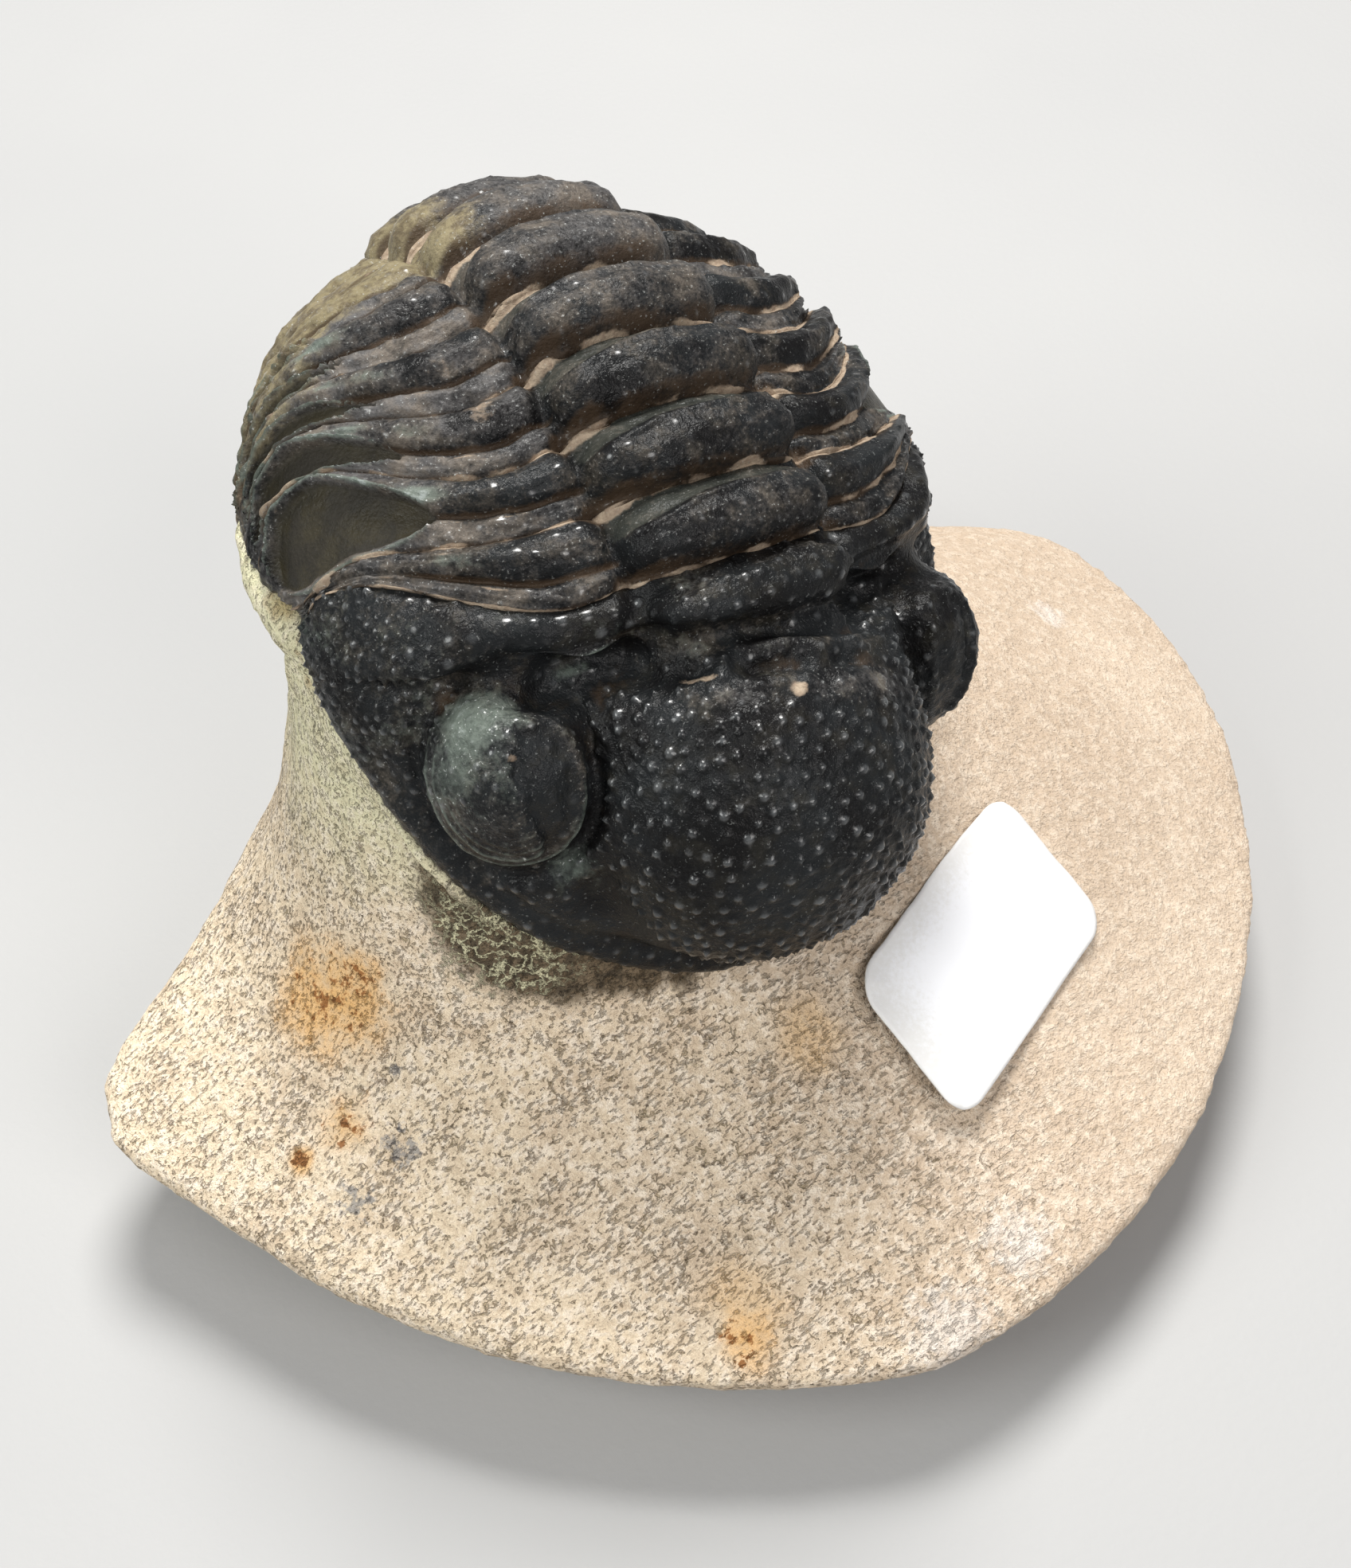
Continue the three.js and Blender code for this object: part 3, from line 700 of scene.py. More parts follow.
def bent_shield(name, start, end, ribs, steps_along, steps_across):
    """The mesh of one shield between two joints, with the masks that its finish reads."""
    bm = bmesh.new()
    bmesh.ops.create_grid(bm, x_segments=steps_along, y_segments=steps_across, size=1)
    flat = np.array([v.co for v in bm.verts])
    s, q = (flat[:, 0] + 1) / 2, flat[:, 1] * 1.05
    inner = s > 1 - INSIDE_SHARE + 1e-4
    v = np.where(inner, (s - 1 + INSIDE_SHARE) / INSIDE_SHARE, 1 - s / (1 - INSIDE_SHARE))
    tuck_front = 0.0 if start == 0 else TUCK / ribs
    v = v * (1 + tuck_front + TUCK / ribs) - tuck_front
    first, last = joint_at(start, q), joint_at(end, q)
    u = np.minimum(first + (last - first) * v, LAST)
    length = np.linalg.norm(body(last, q) - body(first, q), axis=1)
    inside = np.clip(v, 0, 1) * ribs
    within = inside - np.minimum(ribs - 1, np.floor(inside))
    bare = body(u, q)
    flow = np.column_stack([10.5 * q, 4.2 * (start + v * ribs), np.full(len(q), 5.0 * start)])
    drift = wobble(flow, 2.4, start) + 0.5 * wobble(bare, 1.6, start + 4)
    out, masks = relief(start, np.clip(u, first, last), q, within, length / ribs, drift)
    masks["left_rock"] = left_rock(masks, bare)
    wrinkles = wobble(flow, 0.75, start + 9)
    creases = wobble(flow * [0.8, 1, 1], 0.36, start + 6)
    nicks = wobble(flow * [2, 1, 1], 0.5, start + 5)
    lumps = wobble(bare, 1.1, start + 3)
    smooth = 1 - 0.92 * masks["facet"]
    swell = 0.16 * wobble(bare, 3.2, start + 2)
    out = out + (swell + 0.14 * wrinkles + 0.07 * creases + 0.1 * lumps) * smooth
    out = out + 0.06 * (masks["outward"] < -0.02) * smooth * (creases + 0.6 * nicks)
    out = out + (0.2 * masks["strip"] + 0.12 * masks["low"]) * creases + 0.05 * masks["crest"]
    out = out + 0.4 * masks["left_rock"] * (1 + 0.5 * wrinkles) * (1 - masks["crest"])
    out = out - 1.5 * soft_step(0, TUCK / ribs, np.maximum(-v, v - 1))
    out = out - 0.6 * soft_step(0.99, 1.05, np.abs(q))
    depth = SHELL * (1 - 0.5 * np.minimum(1, np.abs(q)) ** 3)
    out = np.where(inner | (s < 1e-4), -depth, out)
    masks["skin"] = 1.0 - inner
    spots = roll_to_world(bare + facing(u, q) * out[:, None])
    for vert, p in zip(bm.verts, (spots * MM).tolist()):
        vert.co = p
    for mask in MASKS:
        layer = bm.verts.layers.float.new(mask)
        for vert, value in zip(bm.verts, masks[mask].tolist()):
            vert[layer] = value
    bmesh.ops.remove_doubles(bm, verts=bm.verts, dist=1e-6)
    bmesh.ops.holes_fill(bm, edges=[e for e in bm.edges if e.is_boundary], sides=0)
    bmesh.ops.recalc_face_normals(bm, faces=bm.faces)
    return finished(bm, name)


def take_layer(mesh, name):
    """The values of a stored mask, which is then removed from the mesh."""
    values = np.empty(len(mesh.vertices), np.float32)
    mesh.attributes[name].data.foreach_get("value", values)
    mesh.attributes.remove(mesh.attributes[name])
    return values.astype(float)


def dress_shield(mesh, seed):
    """Raises the granules of a shield and stores what its finish reads."""
    points, normals = read_points(mesh), read_normals(mesh)
    masks = {name: take_layer(mesh, name) for name in MASKS}
    in_roll = world_to_roll(points)
    outward, left = masks["outward"], np.maximum(-masks["outward"], 0)
    bald = (masks["joint"] > 0.35) | (masks["crease"] > 0.4) | (masks["facet"] > 0.1) | (masks["strip"] > 0.3)
    bald = bald | (masks["skin"] < 0.5) | (masks["left_rock"] > 0.4)
    closer = 0.35 * left + 0.2 * soft_step(3, 14, in_roll[:, 1])
    spacing = 1.25 - np.where(np.abs(outward) > 0.02, closer, 0)
    chosen = scatter(points, np.where(bald, 0, spacing), seed)
    rng = np.random.default_rng(seed + 1)
    radii = rng.uniform(0.26, 0.44, len(chosen))
    tips, nearest = domes(points, points[chosen], radii)
    lift = rng.uniform(0.04, 0.13, len(chosen))[nearest] * (1 - 0.5 * soft_step(0.8, 0.95, np.abs(outward)))
    raised = tips * lift * (masks["skin"] > 0.5)
    write_points(mesh, points + normals * raised[:, None])
    patchy = wobble(points, 2.4, 14)
    x, y = in_roll[:, 0], in_roll[:, 1]
    bend = bell(np.abs(outward) - 0.66, 0.2) * soft_step(0.1, 0.4, left)
    low, slope = masks["low"], masks["slope"]
    # On the rings this is partly dust and partly painted sheen: it rises towards the rear rings and on each
    # ring's right half.
    ring_dust_and_sheen = 0.2 + 0.38 * soft_step(-8, 16, y) + 0.1 * soft_step(-3, 2, x) + 0.12 * patchy
    flank_dust = np.where(outward < 0, 0.45 + 0.3 * low + 0.3 * bend, 0.18 + 0.35 * low) + 0.35 * patchy
    flank_dust = flank_dust * (0.62 + 0.38 * soft_step(-8, 4, y))
    top_yellow = soft_step(13.2, 16.6, y + 0.8 * patchy) * soft_step(-1.5, -5.5, x)
    finishes = {
        "residue": masks["left_rock"],
        "stain": np.maximum.reduce([
            masks["corner"] * 1.3, slope * (0.6 + 0.5 * patchy), 0.7 * masks["joint"],
            slope * 1.2 * soft_step(-4, -6, x), 0.9 * masks["crease"],
        ]),
        "wear_and_highlight": np.maximum(0.75 * masks["rim"], masks["high"] * bend * (1.0 + 1.2 * patchy)),
        "dust_and_sheen": np.where(np.abs(outward) < 0.02, ring_dust_and_sheen, flank_dust) * (1 - 0.5 * masks["crease"]),
        "yellow": np.maximum(top_yellow, 0.75 * soft_step(8, 13.5, y + patchy) * soft_step(-14, -19, x)),
        "smooth": masks["facet"],
        "strip": masks["strip"],
        # tip: the tubercles' domes, painted pale as polish and as painted highlight.
        "tip": tips * (masks["skin"] > 0.5) * rng.uniform(0.2, 0.75, len(chosen))[nearest],
    }
    for name, values in finishes.items():
        store(mesh, name, np.clip(values, 0, 1))


# %% Make the segments and the tail shield
SEGMENT_STEPS = (46, 300)
TAIL_STEPS = (84, 220)

for number in range(1, SEGMENTS + 1):
    name = f"thoracic_segment_{number:02d}"
    shield = bent_shield(name, FIRST + number - 1, FIRST + number, 1, *SEGMENT_STEPS)
    dress_shield(shield, 10 * number)
    show(name + "_shell", shield, shell_material, name)

tail = bent_shield("pygidium", LAST - TAIL_RIBS, LAST, TAIL_RIBS, *TAIL_STEPS)
dress_shield(tail, 200)
show("pygidium_shell", tail, shell_material, "pygidium")

# %% [markdown]
# ## The head shield
# The head is one fused shield: a swollen forehead, two cheeks, an eye on each, and a border and
# ring at the rear. Parts that grow into each other are hard to model as one net of faces. So each
# is shaped by itself, they are laid together, and a voxel remesh wraps them in one even skin. That
# skin is fine enough to carry the furrows and the tubercles.

# %% Shape the forehead and cheeks
HEAD_CORE = np.array([0, -14.0, 2.0])
CHEEKS = {"at": np.array([0, 0, 0]), "radii": np.array([22.8, 28.4, 11.6]), "power": 2.2}
FOREHEAD = {"at": np.array([0, -16.7, 4.6]), "radii": np.array([12.8, 12.8, 13.4]), "power": 2.1}
HEAD_BLEND = 0.5
EYE_CENTRE = np.array([15, -12.2, 5.8])
EYE_RADII = np.array([5.2, 6.1, 6.8])
BORDER_STEPS = (30, 220)
HEAD_VOXEL = 0.25


def lump_distance(points, lump):
    scaled = (np.abs(points - lump["at"]) / lump["radii"]) ** lump["power"]
    return (scaled.sum(1) ** (1 / lump["power"]) - 1) * lump["radii"].min()


def head_distance(points):
    both = sum(np.exp(-lump_distance(points, lump) / HEAD_BLEND) for lump in (CHEEKS, FOREHEAD))
    return -HEAD_BLEND * np.log(both)


def head_blob(bm):
    """Pushes an icosphere's vertices out from the head's core until they meet its skin."""
    made = bmesh.ops.create_icosphere(bm, subdivisions=6, radius=1)["verts"]
    ways = np.array([v.co.normalized() for v in made])
    near, far = np.ones(len(ways)), np.full(len(ways), 60.0)
    for _ in range(26):
        middle = (near + far) / 2
        inside = head_distance(HEAD_CORE + ways * middle[:, None]) < 0
        near, far = np.where(inside, middle, near), np.where(inside, far, middle)
    for vert, p in zip(made, (HEAD_CORE + ways * near[:, None]).tolist()):
        vert.co = p


def cut_and_close(bm, point, way):
    """Cuts away what lies beyond a plane and closes the cut."""
    everything = bm.verts[:] + bm.edges[:] + bm.faces[:]
    bmesh.ops.bisect_plane(bm, geom=everything, plane_co=point, plane_no=way, clear_outer=True)
    bmesh.ops.holes_fill(bm, edges=[e for e in bm.edges if e.is_boundary], sides=0)


def eye_lump(bm, side):
    made = bmesh.ops.create_uvsphere(bm, u_segments=40, v_segments=28, radius=1)["verts"]
    for vert in made:
        vert.co = Vector((np.array(vert.co) * EYE_RADII + EYE_CENTRE * np.array([side, 1, 1])).tolist())


def make_head_mesh():
    ring_y, ring_z, _, tip_y, tip_z = JOINTS[FIRST]
    lean = math.atan2(tip_y - ring_y, ring_z - tip_z) - math.radians(40)
    bm = bmesh.new()
    head_blob(bm)
    eye_lump(bm, 1)
    eye_lump(bm, -1)
    cut_and_close(bm, (0, 0, -0.7), (0, 0, -1))
    cut_and_close(bm, (0, -0.2, 0), (0, math.cos(lean), math.sin(lean)))
    for vert in bm.verts:
        vert.co = Vector((head_to_world(np.array([vert.co]))[0] * MM).tolist())
    border = bent_shield("head_border", 0, FIRST, 1, *BORDER_STEPS)
    bm.from_mesh(border)
    bpy.data.meshes.remove(border)
    return finished(bm, "head_lumps")


def wrapped(mesh, voxel):
    """A new mesh that wraps this one in an even skin of faces of one size."""
    holder = put("wrapping", mesh)
    wrap = holder.modifiers.new("wrap", "REMESH")
    wrap.mode = "VOXEL"
    wrap.voxel_size = voxel * MM
    ready = holder.evaluated_get(bpy.context.evaluated_depsgraph_get())
    made = bpy.data.meshes.new_from_object(ready)
    bpy.data.objects.remove(holder)
    return made


def relaxed(mesh, rounds, share=0.5):
    """Takes voxel steps out: each vertex moves to its neighbours' middle, by a share that may vary."""
    share = np.reshape(share, (-1, 1))
    points = read_points(mesh)
    edges = np.empty(len(mesh.edges) * 2, int)
    mesh.edges.foreach_get("vertices", edges)
    a, b = edges.reshape(-1, 2).T
    count = np.bincount(np.concatenate([a, b]), minlength=len(points))[:, None]
    for _ in range(rounds):
        total = np.zeros_like(points)
        for axis in range(3):
            total[:, axis] = np.bincount(a, points[b, axis], len(points))
            total[:, axis] += np.bincount(b, points[a, axis], len(points))
        points = points + (total / count - points) * share
    write_points(mesh, points)


head_mesh = wrapped(make_head_mesh(), HEAD_VOXEL)
relaxed(head_mesh, 4)
print("head skin:", len(head_mesh.vertices), "points")

# %% [markdown]
# Furrows come next. The forehead's outline is where its lump meets the cheeks, so the difference of
# the two distances finds it. The furrow before the rear border follows the border's front line.
# Each eye stands in a furrow of its own. Its rear and outer half is a worn pale lid with low ridges
# round its foot, and the inner half in front, which held the lenses, lies a step lower. The two meet
# in a ragged edge with one corner, so the edge is two lines, both shifted by noise.

# %% Find places round the eyes
EYE_AXIS = np.array([0.42, -0.12, 0.9]) / np.linalg.norm([0.42, -0.12, 0.9])
EYE_MIDDLE = np.array([15.4, -12.7, 6.0])
EYE_ACROSS = np.cross(EYE_AXIS, [0, -1, 0]) / np.linalg.norm(np.cross(EYE_AXIS, [0, -1, 0]))
EYE_AHEAD = np.cross(EYE_ACROSS, EYE_AXIS)
LID_EDGE = np.array([14.05, 10.28])
LID_SLOPE = 0.06


def eye_places(mirrored):
    """How far out from each eye's axis a point is, 1 at its foot, its height, and where it is on it."""
    away = mirrored - EYE_MIDDLE
    out = np.hypot(away @ EYE_ACROSS / 4.7, away @ EYE_AHEAD / 5.7)
    ahead = -mirrored[:, 1]
    past_lid = ahead - LID_EDGE[1] - LID_SLOPE * (mirrored[:, 0] - LID_EDGE[0])
    lens_side = np.minimum(17.4 - 0.07 * np.maximum(ahead - 13, 0) ** 2, 16.2 + 0.7 * (ahead - LID_EDGE[1]))
    within = lens_side - mirrored[:, 0]
    outer = soft_step(-1.5, 1.5, (mirrored[:, 0] - EYE_MIDDLE[0]) * 0.6 + (ahead + EYE_MIDDLE[1]) * 0.8)
    return out, away @ EYE_AXIS, past_lid, within, outer


print("eye axis:", np.round(EYE_AXIS, 2).tolist())

# %% [markdown]
# Between the border and the forehead lies a narrow lobe, between two furrows. It is broken and
# stained, so its height gets more noise than the rest. The forehead's tubercles start a little way
# past it, and the band before them is smooth.

# %% Carve the furrows of the head
# Places in the head's own millimetres. The neck's furrows run aslant, as NECK_TILT says.
NECK_TILT = 0.22
NECK_FURROW = 9.4
NECK_LOBE = 10.3
NECK_HOLLOW = 11.5
BROW_START = 14.4
CORNER_WAY = np.array([0.845, -0.311, 0.436])
CORNER_START = 20.2
CORNER_ROOM = 0.6
BEHIND_EYE = np.array([15.4, 7.0, 9.6])


def blunt_corner(mesh, x, f, d):
    """Rounds off the rear corner over the right eye, which would stand out too far."""
    local = world_to_head(read_points(mesh))
    past = np.maximum(local @ CORNER_WAY - CORNER_START, 0)
    kept = CORNER_ROOM * (1 - np.exp(-past / CORNER_ROOM))
    share = (x > 0) * soft_step(4.4, 6.4, d) * (1 - soft_step(6.2, 7.6, f))
    write_points(mesh, head_to_world(local - np.outer(share * (past - kept), CORNER_WAY)))


def carve_head(mesh):
    points, normals = read_points(mesh), read_normals(mesh)
    local = world_to_head(points)
    x, f, d = local[:, 0], -local[:, 1], local[:, 2]
    side = np.abs(x)
    cheek, brow = lump_distance(local, CHEEKS), lump_distance(local, FOREHEAD)
    rough, fine = wobble(points, 1.3, 8), wobble(points, 0.6, 9)
    ragged = 0.45 * rough + 0.3 * fine
    eye_out, eye_up, past_lid, within, outer = eye_places(np.column_stack([side, local[:, 1:]]))
    near_eye = soft_step(-5.5, -2.5, eye_up) * (1 - soft_step(1.35, 1.6, eye_out))
    on_eye = soft_step(-3, -1, eye_up) * (1 - soft_step(0.98, 1.08, eye_out))
    lens = soft_step(-0.1, 0.3, past_lid + ragged) * soft_step(-0.1, 0.4, within + ragged)
    lens = on_eye * lens * (1 - soft_step(0.86, 0.97, eye_out))
    q = np.linspace(-1, 1, 240)
    to_border, to_rear = (
        to_nearest(points, roll_to_world(body(np.full_like(q, u), q)))[1] for u in (0, 0.45)
    )
    behind = soft_step(3.1, 2.1, to_rear)
    g = f - NECK_TILT * x
    neck = (1 - soft_step(6.8, 8.6, side)) * soft_step(7, 10, d)

    marks = {
        "outline": bell(brow - cheek, 1.3) * soft_step(7, 10, f) * soft_step(1.2, 3, d) * (1 - near_eye),
        "border": bell(to_border - 0.8, 1.35) * soft_step(5.5, 8, side) * (1 - soft_step(15, 18.5, side)),
        "neck": neck * bell(g - NECK_FURROW, 0.6),
        "hollow": neck * bell(g - NECK_HOLLOW, 0.75),
        "lobe": neck * bell(g - NECK_LOBE, 0.5),
        "band": neck * soft_step(12.0, 12.6, g) * (1 - soft_step(BROW_START - 0.3, BROW_START + 0.3, g)),
        "eye_foot": bell(eye_out - 1.17, 0.1) * near_eye,
        "lens": lens,
        "lid": on_eye * (1 - soft_step(0.3, 0.7, lens)),
        "corner": soft_step(16.8, 18.4, side) * (1 - soft_step(8, 11, f)) * (1 - soft_step(7.4, 8.6, d)),
    }
    rims = np.maximum(bell(eye_out - 0.98, 0.035), bell(eye_out - 0.86, 0.028))
    rims = np.maximum(rims, 0.8 * bell(eye_out - 0.76, 0.022))
    marks["rim"] = np.maximum(rims, 0.6 * bell(eye_out - 0.67, 0.02)) * outer * on_eye * (1 - lens)
    marks["ridge"] = bell(f - 8.1, 0.5) * bell(side - 10.9, 1.9) * soft_step(7, 9, d)
    broken = wobble(points, 1.9, 11)
    between = bell(side - 10.6, 1.7) * bell(f - 10.6, 2.4) * soft_step(6, 8, d)
    # The furrows and the lobe of the neck.
    out = -0.8 * marks["outline"] * (1 - 0.7 * soft_step(14.5, 12, f)) - 1.3 * marks["border"]
    out -= 0.9 * marks["neck"] * (0.75 + 0.5 * broken)
    out += marks["hollow"] * (-0.5 + 0.9 * broken + 0.3 * fine)
    out += marks["lobe"] * (0.15 + 0.6 * broken + 0.25 * rough) + 0.25 * rough * marks["band"]
    # The valleys beside the eyes are half filled, and the ring behind the neck is lumpy.
    out += (0.9 + 0.35 * rough + 0.7 * (x > 0)) * between
    out += (0.9 + 0.5 * rough + 0.5 * broken) * bell(x - 13.4, 1.5) * bell(f - 10.4, 2.8) * soft_step(7, 9, d)
    out += (0.18 * rough + 0.3 * broken) * behind * (1 - soft_step(6, 9, side))
    # The cheeks' rear corners, and the eyes with their lids.
    cheek_corner = bell(np.hypot(f - 4, d - 2.5), 4.5) * soft_step(17, 21, side)
    out += cheek_corner * np.where(x < 0, 0.75, -0.3) - 0.9 * near_eye * soft_step(14.5, 19, x)
    out -= 0.55 * marks["eye_foot"] * np.where(x > 0, 0.4, 1) + 0.4 * lens
    out += 0.2 * marks["rim"] + 0.65 * marks["ridge"]
    out += marks["lid"] * (0.3 * (1 - np.minimum(eye_out, 1) ** 2) + 0.06 * rough + 0.05 * fine)
    out += 0.8 * around(local, [17, -5.7, 9.5], 1.3)
    # The rim along the bottom, and unevenness all over.
    out += 0.28 * bell(d - 0.9, 0.8) * soft_step(6, 12, f) - 0.35 * bell(d - 2.5, 0.7) * soft_step(6, 12, f)
    out += 0.16 * wobble(points, 4.2, 3) + 0.07 * wobble(points, 1.3, 5)
    write_points(mesh, points + normals * out[:, None])
    pit = np.linalg.norm((np.column_stack([side, f, d]) - BEHIND_EYE) * [0.6, 1, 0.8], axis=1)
    relaxed(mesh, 150, 0.8 * (1 - soft_step(1.1, 2.1, pit)))
    right_end = soft_step(17, 19.5, x) * (1 - soft_step(4, 6, f))
    seam = np.maximum(bell(to_border, 2.4) * soft_step(5.5, 8, side), right_end)
    relaxed(mesh, 24, 0.5 * seam)
    relaxed(mesh, 1, 0.4)
    blunt_corner(mesh, x, f, d)
    past_band = np.where(neck > 0.3, soft_step(-0.3, 0.3, g - BROW_START), 1)
    on_brow = soft_step(0.4, 1.6, cheek - brow) * past_band * soft_step(9, 11, f)
    marks.update({
        "local": local, "side": side, "on_brow": on_brow, "on_eye": on_eye, "behind": behind, "g": g,
        "at_neck": neck,
    })
    return marks


head_marks = carve_head(head_mesh)
print("forehead points:", int((head_marks["on_brow"] > 0.5).sum()))

# %% [markdown]
# The forehead carries the largest tubercles, about a millimetre apart, and between them sit fine
# granules. They get smaller and closer down its front, and the furrows and the lids stay bare.

# %% Raise the head's tubercles
def raise_tubercles(mesh, marks):
    """Pushes out the domes and returns where they are."""
    points, normals = read_points(mesh), read_normals(mesh)
    local, side = marks["local"], marks["side"]
    x, f, d = local[:, 0], -local[:, 1], local[:, 2]
    on_brow = marks["on_brow"] > 0.5
    corner = marks["corner"] > 0.5
    furrows = np.maximum.reduce([marks[n] for n in ("border", "neck", "hollow", "eye_foot", "lobe")])
    furrows = np.maximum(furrows, marks["outline"] * soft_step(12, 14, f))
    smooth = ((furrows > 0.5) & ~corner) | (d < 0.2) | (marks["rim"] > 0.4)
    on_lid = (marks["lid"] > 0.5) & (marks["on_eye"] > 0.5)
    spacing = np.where(on_brow, 0.92 + 0.12 * soft_step(14, 18, f) - 0.26 * soft_step(9, 4, d), 1.0)
    spacing = np.where(marks["on_eye"] > 0.5, np.where((marks["lens"] > 0.3) & (x < 0), 1.5, 0.85), spacing)
    spacing = np.where(marks["behind"] > 0.5, 1.3, spacing)
    spacing = np.where(marks["band"] > 0.5, 0.8, spacing)
    spacing = np.where(corner, 0.7, spacing)
    bare_lid = on_lid & ((f > 13.4) | (side < 15.2)) & (x < 0)
    spacing = np.where(bare_lid | smooth, 0, spacing)
    chosen = scatter(points, spacing, 77, 80000)
    rng = np.random.default_rng(78)
    big = on_brow[chosen] | ((marks["behind"][chosen] > 0.5) & (side[chosen] < 7.5))

    def draw(low, high):
        return rng.uniform(low, high, len(chosen))

    radii = np.where(big, draw(0.34, 0.5), spacing[chosen] * draw(0.38, 0.48))
    radii = radii * np.where(big, 1 - 0.2 * soft_step(9, 4, d[chosen]), 1)
    lifts = np.where(big, draw(0.24, 0.38), draw(0.11, 0.19))
    lifts = lifts * (1 - 0.4 * marks["behind"][chosen] * (1 - marks["corner"][chosen]))
    lifts = lifts * np.where(corner[chosen], 1.9 + 0.9 * around(local[chosen], [-20.4, -5.4, 6], 1.6), 1)
    lifts = lifts * (1 - 0.25 * soft_step(16, 18, x[chosen]))
    tips, nearest = domes(points, points[chosen], radii)
    fine = scatter(points, np.where(on_brow & (tips <= 0), 0.62, 0), 79, 60000)
    fine_tips = domes(points, points[fine], np.full(len(fine), 0.3))[0] * (tips <= 0)
    write_points(mesh, points + normals * (tips * lifts[nearest] + 0.08 * fine_tips)[:, None])
    print("tubercles on the head:", len(chosen), "and granules:", len(fine))
    # How pale each tip is, partly polish and partly painted highlight: dimmer low on the forehead's front and
    # on the lenses.
    bright = draw(0.3, 1.1) * np.where(big | corner[chosen] | on_lid[chosen], 1, 0.75)
    bright = bright * (1 - 0.4 * soft_step(7, 3, d[chosen]) * big) * (1 - 0.6 * marks["lens"][chosen])
    return np.maximum(tips * bright[nearest], 0.3 * fine_tips)


head_tips = raise_tubercles(head_mesh, head_marks)

# %% [markdown]
# Rock, stain and wear are stored on the mesh for the shell's finish. The left eye's lid and the
# forehead's left corner are worn pale, and a streak of cream rock is left in the neck's hollow. The
# ridge behind the left eye is painted pale in the wear layer as a painted highlight.

# %% Store what the head's finish reads
def mark_head(mesh, marks, tips):
    points = read_points(mesh)
    local, g = marks["local"], marks["g"]
    x, f, d = local[:, 0], -local[:, 1], local[:, 2]
    patchy = wobble(points, 2.6, 12)
    left_side = soft_step(2, -2, x)
    neck = marks["at_neck"]

    def spot(place, size):
        return around(local, place, size)

    high_lid = 0.3 + 0.75 * spot((-17.9, -10.6, 9), 3.1) - 0.15 * soft_step(12.2, 13.8, f)
    lid = marks["lid"] * marks["on_eye"]
    finishes = {
        "residue": (
            0.9 * bell(g - 11.95, 0.38) * bell(x + 5.6, 1.25) * soft_step(8, 10, d),
            0.8 * spot((-0.5, -13.3, 17.6), 0.7),
            0.8 * spot((-17.1, -11.9, 11.8), 0.4),
            0.4 * marks["neck"] * (0.1 + patchy),
            0.3 * marks["border"] * patchy,
        ),
        "stain": (
            marks["neck"] * (0.15 + 0.9 * patchy),
            0.8 * bell(g - 11.4, 1.0) * neck * (0.3 + 0.8 * patchy),
            0.8 * spot((-18.1, -7.6, 7.1), 1.1),
            marks["outline"] * (0.15 + 0.5 * soft_step(19, 12, f) * left_side + 0.4 * patchy),
            0.3 * marks["eye_foot"],
            0.35 * marks["border"] * (0.8 + patchy),
        ),
        "wear_and_highlight": (
            lid * (0.2 + 0.65 * left_side) * (high_lid + 0.4 * patchy),
            marks["rim"] * 0.7 * (0.3 + 0.7 * left_side),
            0.6 * spot((-13.4, -19.4, 6.6), 1.9),
            0.25 * marks["band"] * (0.7 + 0.6 * patchy),
            0.5 * marks["lobe"] * (0.4 + patchy),
            # Painted highlight: the ridge behind the left eye is painted pale.
            0.6 * marks["ridge"] * left_side,
            0.2 * spot((-1.7, -11.1, 17), 1.3),
            left_side * marks["corner"] * (0.22 + 0.25 * patchy),
            left_side * marks["behind"] * (0.12 + 0.3 * patchy),
        ),
        "dust_and_sheen": (
            0.6 * bell(g - 13.3, 1.2) * neck * (0.7 + 0.7 * patchy),
            (0.35 + 0.4 * patchy) * marks["lobe"],
            (0.3 + 0.3 * patchy) * marks["behind"] * soft_step(8, 3, marks["side"]),
            0.22 * left_side * soft_step(13, 17, marks["side"]) * (1 - marks["lens"]),
            0.35 * lid * left_side,
            0.4 * bell(g - 13.6, 0.9) * bell(x - 3.5, 2.5),
        ),
    }
    for name, parts in finishes.items():
        store(mesh, name, np.clip(np.maximum.reduce(parts), 0, 1))
    store(mesh, "tip", tips)
    for name in ("yellow", "smooth", "strip"):
        store(mesh, name, np.zeros(len(points)))


mark_head(head_mesh, head_marks, head_tips)
show("cephalon_shell", head_mesh, shell_material, "cephalon")

# %% [markdown]
# ## The limestone
# The slab was sawn and then ground and blasted by hand. Its solid already has the true outline, so a
# copy of it is wrapped in an even skin, smoothed, and roughened with noise in three sizes: hollows
# of the grinding, pecks of the tool, and grain. The flat foot is kept flat.

# %% Wrap and roughen a copy of the slab
ROCK_VOXEL = 0.5
# Beads of rock: a place in millimetres and a radius. The last set is in the roll's millimetres.
EDGE_BEADS = (
    (-23.9, 7.4, 43.2, 2.6), (-24.2, 5.2, 41.2, 2.8), (-24.0, 9.6, 44.6, 2.2), (-23.2, 12, 44.6, 2.4),
    (-25.7, 6.6, 44.0, 1.5), (-26.1, 7.4, 42.3, 1.5), (-26.5, 8.2, 40.6, 1.35), (-26.8, 8.8, 39.0, 1.1),
)
LIP = np.array([
    [-26.2, 4.6, 44.0], [-26.1, 2.9, 41.2], [-25.5, -0.2, 38.9], [-24.8, -3.5, 36.9], [-23.5, -6.3, 34.4],
    [-21.9, -8.6, 32.7], [-19.9, -10.1, 30.4], [-17.8, -11.4, 29.2],
])
LIP_RADIUS = 0.68
